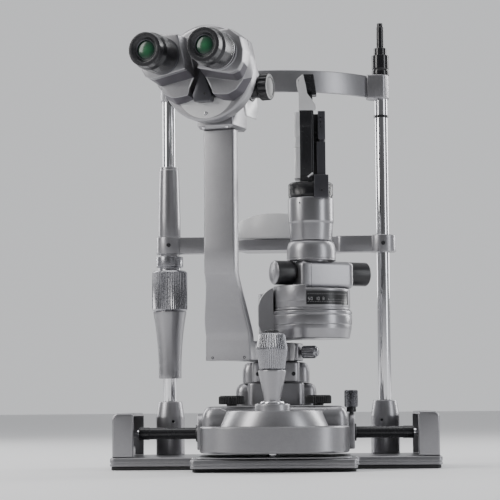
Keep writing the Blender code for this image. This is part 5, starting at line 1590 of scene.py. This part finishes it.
# %% Dioptre ring and ticks
place = optic_frame @ at(EYE_X, EYE_Y, 0)
profile = [(0.0200, POD_HIGH + 0.0075), (0.02058, POD_HIGH + 0.0076),
           (0.02058, POD_HIGH + 0.0090), (0.0200, POD_HIGH + 0.0091)]
ring = turned("dioptre_ring", profile, place, 0.0002, 120)
dress(ring, "polished_steel", "ocular_right")
ticks = []
for k in range(-4, 5):
    turn = place @ rotated(8 + 7 * k, "Z") @ at(0.0204, 0, POD_HIGH + 0.0128) @ FACE_RIGHT
    half = 0.0013 if k % 2 == 0 else 0.0008
    tick = brick(f"tick_{k + 4}", (-half, half), (-0.00022, 0.00022), (0, 0.00018), turn, 0.0001, 0.00004)
    ticks.append(tick)
dress(assembled("dioptre_ticks", *ticks), "pale_paint", "ocular_right")

# %% [markdown]
# ## Head details
#
# Between the pods a dark plate fills the gap, so the pods look like two wedges on one black spine. The
# right side has a black shaft bearing for the magnifier, cradled by a pale forked plate.

# %% Spine between the pods
half = [(0.0090, -0.0335), (0.0112, -0.0262), (0.0040, -0.0060), (0.0040, 0.0240), (0.0020, 0.0300)]
outline = half + [(-x, y) for x, y in reversed(half)]
spine = milled("pod_spine", softened(outline, 0.0012, 3, closed=True), REAR + 0.0001, REAR + 0.0120,
               optic_frame,
               0.0008)
dress(spine, "dark_plate", "microscope")
dress(cap_screw("spine_screw", 0.0016, 0.0006, optic_frame @ at(0.0040, -0.0250, REAR + 0.0118)),
      "black_metal",
      "microscope")

# %% Magnifier bearing and cradle
side_turn = magnifier @ FACE_RIGHT
profile = [(0.0125, 0.0366), (0.0146, 0.0366), (0.0146, 0.0380), (0.0138, 0.0384), (0.0125, 0.0384)]
dress(turned("magnifier_bearing", profile, side_turn, 0.0003, 64), "black_metal", "microscope")
outline = [(-0.0190, -0.0230), (-0.0150, -0.0330), (0.0150, -0.0330), (0.0190, -0.0230), (0.0165, -0.0060)]
outline += arc(0.0150, -20, -160, 16)
outline += [(-0.0165, -0.0060)]
cradle = milled("magnifier_cradle", outline, 0.0352, 0.0376,
                side_turn @ rotated(90, "Z"),
                0.0007)
dress(cradle, "pale_paint", "microscope")

# %% [markdown]
# ## Illuminator
#
# The illuminator is a stack of turned parts on a vertical axis in front of the pivot. From below: hub,
# lamp house, control drum with a display, knob housing, dome, projector tube, aperture ring and tower.
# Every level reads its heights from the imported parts, so the stack closes without gaps.

# %% Hub
low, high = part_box("illuminator_hub")
r = (high.x - low.x) / 2
bore = 0.0093
hub_outline = arc(r, 0, 360, 64)[:-1]
hub = milled("illuminator_hub_cast", hub_outline, low.z, high.z, pivot_frame, 0.0014, 4)
carved(hub, drill(bore, low.z - 0.01, high.z - 0.004, pivot_frame, 48),
       drill(0.0469, 0.1, 0.3, lamp_frame, 128))
dress(hub, "satin_silver", "illuminator", "illuminator_hub")

# %% Lamp house
low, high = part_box("lamp_house")
r = (high.x - low.x) / 2
profile = [(0, low.z), (0.0395, low.z), (r - 0.0040, low.z), (r - 0.0031, low.z + 0.0007),
           (r - 0.0008, low.z + 0.0110),
           (r - 0.0006, low.z + 0.0152), (r - 0.0008, low.z + 0.0155), (r, low.z + 0.0162),
           (r, low.z + 0.0262),
           (r - 0.0006, low.z + 0.0268), (r - 0.0006, low.z + 0.0276), (r, low.z + 0.0282),
           (r, high.z - 0.0006),
           (r - 0.0006, high.z), (0, high.z)]
dress(turned("lamp_house_spun", profile, lamp_frame, 0.0003, 160), "turned_silver", "illuminator",
      "lamp_house")
profile = [(0.0150, low.z + 0.0002), (0.0300, low.z + 0.0002), (0.0300, low.z + 0.0009),
           (0.0150, low.z + 0.0009)]
dress(turned("vent_ring", profile, lamp_frame, 0.0001, 64), "dark_plate", "illuminator")

# %% Control drum
low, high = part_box("control_drum")
r = (high.x - low.x) / 2
profile = [(0, low.z), (r - 0.0008, low.z), (r, low.z + 0.0008), (r, low.z + 0.0022),
           (r - 0.0007, low.z + 0.0026),
           (r - 0.0007, low.z + 0.0034), (r, low.z + 0.0038), (r, high.z - 0.0007), (r - 0.0007, high.z),
           (0, high.z)]
drum = turned("control_drum_turned", profile, lamp_frame, 0.0002, 160)
pocket = arc(0.0436, -98.2, -20, 48) + arc(0.052, -20, -98.2, 48)
tool = milled("pocket", pocket, low.z + 0.0056, high.z - 0.0028, lamp_frame, 0.0)
carved(drum, tool)
dress(drum, "satin_silver", "illuminator", "control_drum")
window = arc(0.0430, -97.9, -20.3, 48) + arc(0.0439, -20.3, -97.9, 48)
screen = milled("display_window", window, low.z + 0.0059, high.z - 0.0031, lamp_frame, 0.0001)
dress(screen, "black_plastic", "illuminator")


def segment_digit(digit, width, height, place):
    """Raised bars of a seven-part digit."""
    bars = {"a": (0, 1, 0), "b": (0.5, 0.5, 1), "c": (0.5, -0.5, 1), "d": (0, -1, 0), "e": (-0.5, -0.5, 1),
            "f": (-0.5, 0.5, 1), "g": (0, 0, 0)}
    lit = {"0": "abcdef", "1": "bc", "2": "abged", "3": "abgcd", "4": "fgbc", "5": "afgcd", "6": "afgedc",
           "8": "abcdefg"}[digit]
    parts = []
    for key in lit:
        x, y, upright_bar = bars[key]
        half_x, half_y = (0.00016, height / 4 - 0.0001) if upright_bar else (width / 2 - 0.0001, 0.00016)
        across = (x * width - half_x, x * width + half_x)
        up = (y * height / 2 - half_y, y * height / 2 + half_y)
        parts.append(brick(f"bar_{key}", across, up, (0, 0.00012), place, 0.00005, 0.00003))
    return parts


def on_drum(angle, height):
    a = math.radians(angle)
    spot = lamp_frame @ at(0.04385 * math.cos(a), 0.04385 * math.sin(a), height)
    return spot @ Matrix.Rotation(a + math.pi / 2, 4, "Z") @ FACE_FRONT


bars = []
middle_z = (low.z + high.z) / 2 + 0.0012
for angle, digit in ((-94, "5"), (-90, "0"), (-83, "1"), (-79.5, "0"), (-72, "8")):
    bars += segment_digit(digit, 0.0016, 0.0032, on_drum(angle, middle_z - 0.0012))
for k in range(17):
    half = 0.0009 if k % 4 == 0 else 0.0005
    bars.append(brick("mark", (-0.0001, 0.0001), (-half, half), (0, 0.0001),
                      on_drum(-64 + k * 2.2, middle_z - 0.002),
                      0.00004, 0.00002))
for height in (middle_z + 0.0042, middle_z - 0.0046):
    for k in range(21):
        bars.append(brick("rule", (-0.0009, 0.0009), (-0.0001, 0.0001), (0, 0.00008),
                          on_drum(-95 + k * 3.6, height),
                          0.00004, 0.00002))
dress(assembled("display_marks", *bars), "pale_paint", "illuminator")

# %% Raised block beside the display
outline = arc(0.0447, -172, -99, 40) + arc(0.0300, -99, -172, 30)
block = milled("drum_shoulder", outline, high.z - 0.0150, high.z + 0.0042, lamp_frame, 0.0014, 4)
dress(block, "satin_silver", "illuminator")

# %% [markdown]
# **Knob housing and dome.** The housing is a rounded box across the axis, and the dome above it is part
# of the same casting. A row of shrinking rings gives the dome its quarter-round edge.

# %% Slit housing
low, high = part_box("slit_housing")
slit_frame = lamp_frame @ rotated(26, "Z") @ at(0.0105, 0, 0)
BOX_TOP = low.z + 0.032
HALF_BOX = 0.034
KNOB_REACH = HALF_BOX + 0.027
KNOB_HEIGHT = low.z + 0.019
profile = rectangle((-0.0240, 0.0240), (low.z, BOX_TOP), 0.0066, 8)


def housing_ring(x, inset):
    return [(x, y, z) for y, z in shrunk(profile, inset)]


rings = [(-HALF_BOX, 0.0040), (0.0006 - HALF_BOX, 0.0024), (0.0020 - HALF_BOX, 0.0008),
         (0.0040 - HALF_BOX, 0.0),
         (-0.0235, 0.0), (-0.0232, 0.0005), (-0.0222, 0.0005), (-0.0219, 0.0), (HALF_BOX - 0.0080, 0.0),
         (HALF_BOX - 0.0045, 0.0006), (HALF_BOX - 0.0020, 0.0020), (HALF_BOX - 0.0006, 0.0042),
         (HALF_BOX, 0.0065)]
box_piece = stacked("slit_housing_cast", [housing_ring(*ring) for ring in rings], slit_frame, sharp=35)
DOME_LOW = KNOB_HEIGHT + 0.0143
dome = [(0, BOX_TOP - 0.004), (0.0200, BOX_TOP - 0.004), (0.0200, DOME_LOW), (0.0282, DOME_LOW),
        (0.0285, DOME_LOW + 0.0004), (0.0285, DOME_LOW + 0.0016), (0.0280, DOME_LOW + 0.0019),
        (0.0280, DOME_LOW + 0.0025), (0.0285, DOME_LOW + 0.0028)]
for k in range(0, 13):
    a = math.radians(7.5 * k)
    rise = high.z - DOME_LOW - 0.0100
    dome.append((0.0225 + 0.0060 * math.cos(a) ** 0.8, DOME_LOW + 0.0100 + rise * math.sin(a)))
dome.append((0, high.z))
cap = turned("dome", dome, lamp_frame, 0.0, 128)
dress(assembled("slit_housing_cast", box_piece, cap), "satin_silver", "illuminator", "slit_housing")

# %% Slit width knobs
shaft = slit_frame @ at(0, 0, KNOB_HEIGHT)
r = 0.014
profile = [(0, 0.0), (0.0049, 0.0), (0.0049, HALF_BOX + 0.0010), (0.0105, HALF_BOX + 0.0012),
           (r - 0.0008, HALF_BOX + 0.0016), (r, HALF_BOX + 0.0026)]
plain = profile + [(r, KNOB_REACH - 0.0014), (r - 0.0012, KNOB_REACH), (0, KNOB_REACH)]
black = turned("slit_knob_right", plain, shaft @ FACE_RIGHT, 0.0004,
               ridges=(60, 0.0004, HALF_BOX + 0.0050, KNOB_REACH - 0.0030))
short = profile + [(r, KNOB_REACH - 0.0034), (r - 0.0003, KNOB_REACH - 0.0032), (0, KNOB_REACH - 0.0032)]
other = turned("slit_knob_left", short, shaft @ FACE_LEFT, 0.0004,
               ridges=(60, 0.0004, HALF_BOX + 0.0050, KNOB_REACH - 0.0060))
dress(assembled("slit_knobs_moulded", black, other), "black_plastic", "slit_control", "slit_knobs")
face = KNOB_REACH - 0.0034
profile = [(0, face), (r - 0.0006, face), (r - 0.0002, face + 0.0006), (r - 0.0008, face + 0.0013),
           (r - 0.0040, face + 0.0024), (r - 0.0085, face + 0.0031), (0, face + 0.0034)]
dress(turned("slit_knob_cap", profile, shaft @ FACE_LEFT, 0.0002, 96), "turned_silver", "slit_control")

# %% Projector tube and aperture ring
low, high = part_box("projector_tube")
ring_low, ring_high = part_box("aperture_ring")
profile = [(0, low.z), (0.0236, low.z), (0.0243, low.z + 0.0008), (0.0259, low.z + 0.0200),
           (0.0266, low.z + 0.0225),
           (0.0266, ring_low.z - 0.0012), (0.0258, ring_low.z - 0.0003), (0.0240, ring_low.z - 0.0003),
           (0.0240, ring_low.z - 0.0020), (0.0119, ring_low.z - 0.0020), (0.0119, high.z), (0, high.z)]
tube = turned("projector_tube_turned", profile, lamp_frame, 0.0003, 144)
angle = math.radians(-118)
hole = lamp_frame @ at(0.0300 * math.cos(angle), 0.0300 * math.sin(angle), ring_low.z - 0.0075)
carved(tube, drill(0.0011, -0.006, 0.004, hole @ Matrix.Rotation(angle, 4, "Z") @ FACE_RIGHT, 24))
dress(tube, "turned_silver", "illuminator", "projector_tube")
r = (ring_high.x - ring_low.x) / 2
profile = [(0.0123, ring_low.z), (r - 0.0012, ring_low.z), (r - 0.0004, ring_low.z + 0.0006),
           (r - 0.0004, ring_low.z + 0.0022),
           (r, ring_low.z + 0.0026), (r, ring_high.z - 0.0022), (r - 0.0006, ring_high.z - 0.0012),
           (r - 0.0022, ring_high.z), (0.0123, ring_high.z)]
ring = turned("aperture_ring_turned", profile, lamp_frame, 0.0003,
              ridges=(120, 0.00022, ring_low.z + 0.0028, ring_high.z - 0.0024))
dress(ring, "gloss_black", "aperture_control", "aperture_ring")

# %% [markdown]
# ## Tower and prism head
#
# The tower is a black box with bolted plates on its right and a strip on its left edge, painted pale as a
# highlight: the light the key lamp throws on that glossy edge. Above it, a bent sheet plate holds the prism,
# whose black block stands behind.

# %% Tower
low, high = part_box("tower")
half_x, half_y = (high.x - low.x) / 2, (high.y - low.y) / 2
mid_x, mid_y = (high.x + low.x) / 2, (high.y + low.y) / 2
tower_place = at(mid_x, mid_y, 0)
FLOOR, ROOF = low.z, high.z
core = brick("tower_core", (-half_x + 0.0064, half_x - 0.0140), (-half_y + 0.0010, half_y), (FLOOR, ROOF),
             tower_place,
             0.0016, 0.0006)
slab = brick("slab", (-half_x + 0.0082, half_x - 0.0165), (-half_y, -half_y + 0.004),
             (FLOOR + 0.0065, ROOF - 0.0195),
             tower_place, 0.0008, 0.0004)
upper_slab = brick("slab", (-half_x + 0.0066, half_x - 0.0158), (-half_y, -half_y + 0.004),
                   (ROOF - 0.0190, ROOF - 0.0004), tower_place, 0.0006, 0.0004)
rear_slab = brick("slab", (-half_x + 0.0006, half_x - 0.0050), (half_y - 0.0080, half_y),
                  (FLOOR + 0.0040, ROOF - 0.0010),
                  tower_place, 0.0018, 0.0006)
dress(assembled("tower_case", core, slab, upper_slab, rear_slab), "black_metal", "illuminator", "tower")
# the strip's pale paint is a painted highlight, standing for the key lamp's light on a glossy edge
highlight_strips = []
for z_low, z_high in ((FLOOR + 0.0040, FLOOR + 0.0400), (FLOOR + 0.0404, FLOOR + 0.0520),
                      (FLOOR + 0.0524, ROOF - 0.0018)):
    outline = arc(0.0030, 180, 270, 8, (-half_x + 0.0030, -half_y + 0.0032))
    outline += [(-half_x + 0.0068, -half_y + 0.0002), (-half_x + 0.0068, half_y - 0.0085),
                (-half_x, half_y - 0.0085)]
    highlight_strips.append(milled("strip", outline, z_low, z_high, tower_place, 0.0002, 2))
dress(assembled("tower_strip_painted_highlight", *highlight_strips), "pale_paint", "illuminator")
plates = [brick("plate", (half_x - 0.0108, half_x - 0.0006), (-half_y + 0.0020, half_y - 0.0010),
                (FLOOR + 0.0045, FLOOR + 0.0465), tower_place, 0.0008, 0.0004),
          brick("plate", (half_x - 0.0080, half_x - 0.0020), (-half_y + 0.0034, half_y - 0.0030),
                (FLOOR + 0.0460, FLOOR + 0.0500), tower_place, 0.0004, 0.0002),
          brick("plate", (half_x - 0.0092, half_x - 0.0006), (-half_y + 0.0012, half_y - 0.0010),
                (FLOOR + 0.0496, ROOF - 0.0006), tower_place, 0.0008, 0.0004)]
for k in range(3):
    hole = tower_place @ at(half_x - 0.0062, -half_y, ROOF - 0.0085 - k * 0.0052) @ FACE_FRONT
    carved(plates[2], drill(0.0011, -0.006, 0.004, hole, 24))
dress(assembled("tower_plates", *plates), "dark_plate", "illuminator")

# %% Bearing block and filter lever
outline = rectangle((0.0040, 0.0210), (-0.0300, -0.0100), 0.0012, 4)
block = milled("bearing_block_milled", outline, FLOOR - 0.0205, FLOOR + 0.0062, lamp_frame, 0.0007)
carved(block, drill(0.0265, FLOOR - 0.03, FLOOR + 0.0002, lamp_frame, 96))
screw_hole = lamp_frame @ at(0.0128, -0.0300, FLOOR - 0.0120) @ FACE_FRONT
carved(block, drill(0.0015, -0.002, 0.004, screw_hole, 24))
dress(block, "dark_plate", "illuminator")
low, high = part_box("filter_lever")
lever = at((low.x + high.x) / 2, high.y, (low.z + high.z) / 2) @ FACE_FRONT
rings = []
for height, width, depth in ((0.0002, 0.0010, 0.0010), (0.0060, 0.0012, 0.0012), (0.0080, 0.0030, 0.0011),
                             (0.0180, 0.0038, 0.0009), (0.0192, 0.0036, 0.0008), (0.0196, 0.0028, 0.0005)):
    rings.append([(x, y, height) for x,
                  y in rectangle((-width, width), (-depth, depth), min(width, depth) * 0.45, 4)])
lever_piece = stacked("filter_lever_pressed", rings, lever @ rotated(38, "Z"))
dress(lever_piece, "pale_paint", "filter_control", "filter_lever")

# %% Prism head
low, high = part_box("prism_head")
BOTTOM, TOP = low.z, high.z
plate_outline = [(-0.0128, BOTTOM), (0.0072, BOTTOM), (0.0074, BOTTOM + 0.0060), (-0.0028, BOTTOM + 0.0200),
                 (-0.0046, BOTTOM + 0.0310), (-0.0072, TOP - 0.0004), (-0.0084, TOP - 0.0004),
                 (-0.0148, TOP - 0.0062), (-0.0148, BOTTOM + 0.0300), (-0.0128, BOTTOM + 0.0190)]
front_y = low.y - TOWER.y
plate = milled("prism_plate", softened(plate_outline, 0.0007, 3, closed=True), 0, 0.0022,
               lamp_frame @ at(0, front_y + 0.0024, 0) @ FACE_FRONT, 0.0004)
hole = lamp_frame @ at(-0.0125, front_y + 0.0002, TOP - 0.0072) @ FACE_FRONT
carved(plate, drill(0.0009, -0.002, 0.002, hole, 24))
side = milled("side", [(0, BOTTOM), (0.0016, BOTTOM), (0.0016, BOTTOM + 0.0300), (0, BOTTOM + 0.0300)], 0,
              0.0180,
              lamp_frame @ at(-0.0128, front_y + 0.0190, 0) @ FACE_FRONT, 0.0003)
dress(assembled("prism_plate", plate, side), "pale_paint", "illuminator")
outline = [(-0.0066, TOP), (0.0042, TOP), (0.0076, BOTTOM + 0.0190), (-0.0034, BOTTOM + 0.0190)]
head = milled("head", softened(outline, 0.0008, 3, closed=True), 0, 0.0150,
              lamp_frame @ at(0, front_y + 0.0180, 0) @ FACE_FRONT, 0.0006)
for x, z in ((0.0010, TOP - 0.0030), (0.0020, TOP - 0.0120)):
    carved(head, drill(0.0008, -0.002, 0.003, lamp_frame @ at(x, front_y + 0.0030, z) @ FACE_FRONT, 20))
neck = brick("neck", (-0.0120, 0.0035), (front_y + 0.0030, front_y + 0.0190), (BOTTOM, BOTTOM + 0.0230),
             lamp_frame,
             0.0010, 0.0005)
dress(assembled("prism_head_black", head, neck), "black_metal", "illuminator", "prism_head")
outline = [(0.0182, BOTTOM + 0.0200), (0.0270, BOTTOM + 0.0290), (0.0182, TOP - 0.0040)]
glass = milled("prism", [(x + front_y, z) for x, z in outline], -0.0060, 0.0060,
               lamp_frame @ rotated(90, "Z") @ rotated(90, "X"), 0.0003)
dress(glass, "coated_glass", "illuminator")

# %% [markdown]
# **Tilt cheek.** The lamp hangs in a cheek at its left: a thick rounded plate that stands clear of the
# drum by a narrow slot and closes against the lamp house below.

# %% Tilt cheek
low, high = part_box("lamp_house")
drum_low, drum_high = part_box("control_drum")
outline = [(-0.0380, low.z + 0.0030), (-0.0560, low.z + 0.0060), (-0.0603, low.z + 0.0160)]
outline += arc(0.0240, 176, 92, 14, (-0.0365, drum_high.z - 0.0220))
outline += [(-0.0300, drum_high.z + 0.0010), (-0.0300, low.z + 0.0030)]
cheek = milled("tilt_cheek_cast", softened(outline, 0.0010, 3, closed=True), -0.0170, 0.0150,
               lamp_frame @ FACE_FRONT, 0.0016, 4)
carved(cheek, drill(0.0460, low.z, drum_low.z - 0.004, lamp_frame, 96),
       drill(0.0468, drum_low.z - 0.004, 0.3, lamp_frame, 96))
dress(cheek, "satin_silver", "illuminator")
place = lamp_frame @ at(-0.0596, 0.001, drum_high.z - 0.0240) @ FACE_LEFT
dress(cap_screw("cheek_screw", 0.0040, 0.0010, place, 0.0011), "polished_steel", "illuminator")

# %% Update the scene
bpy.context.view_layer.update()
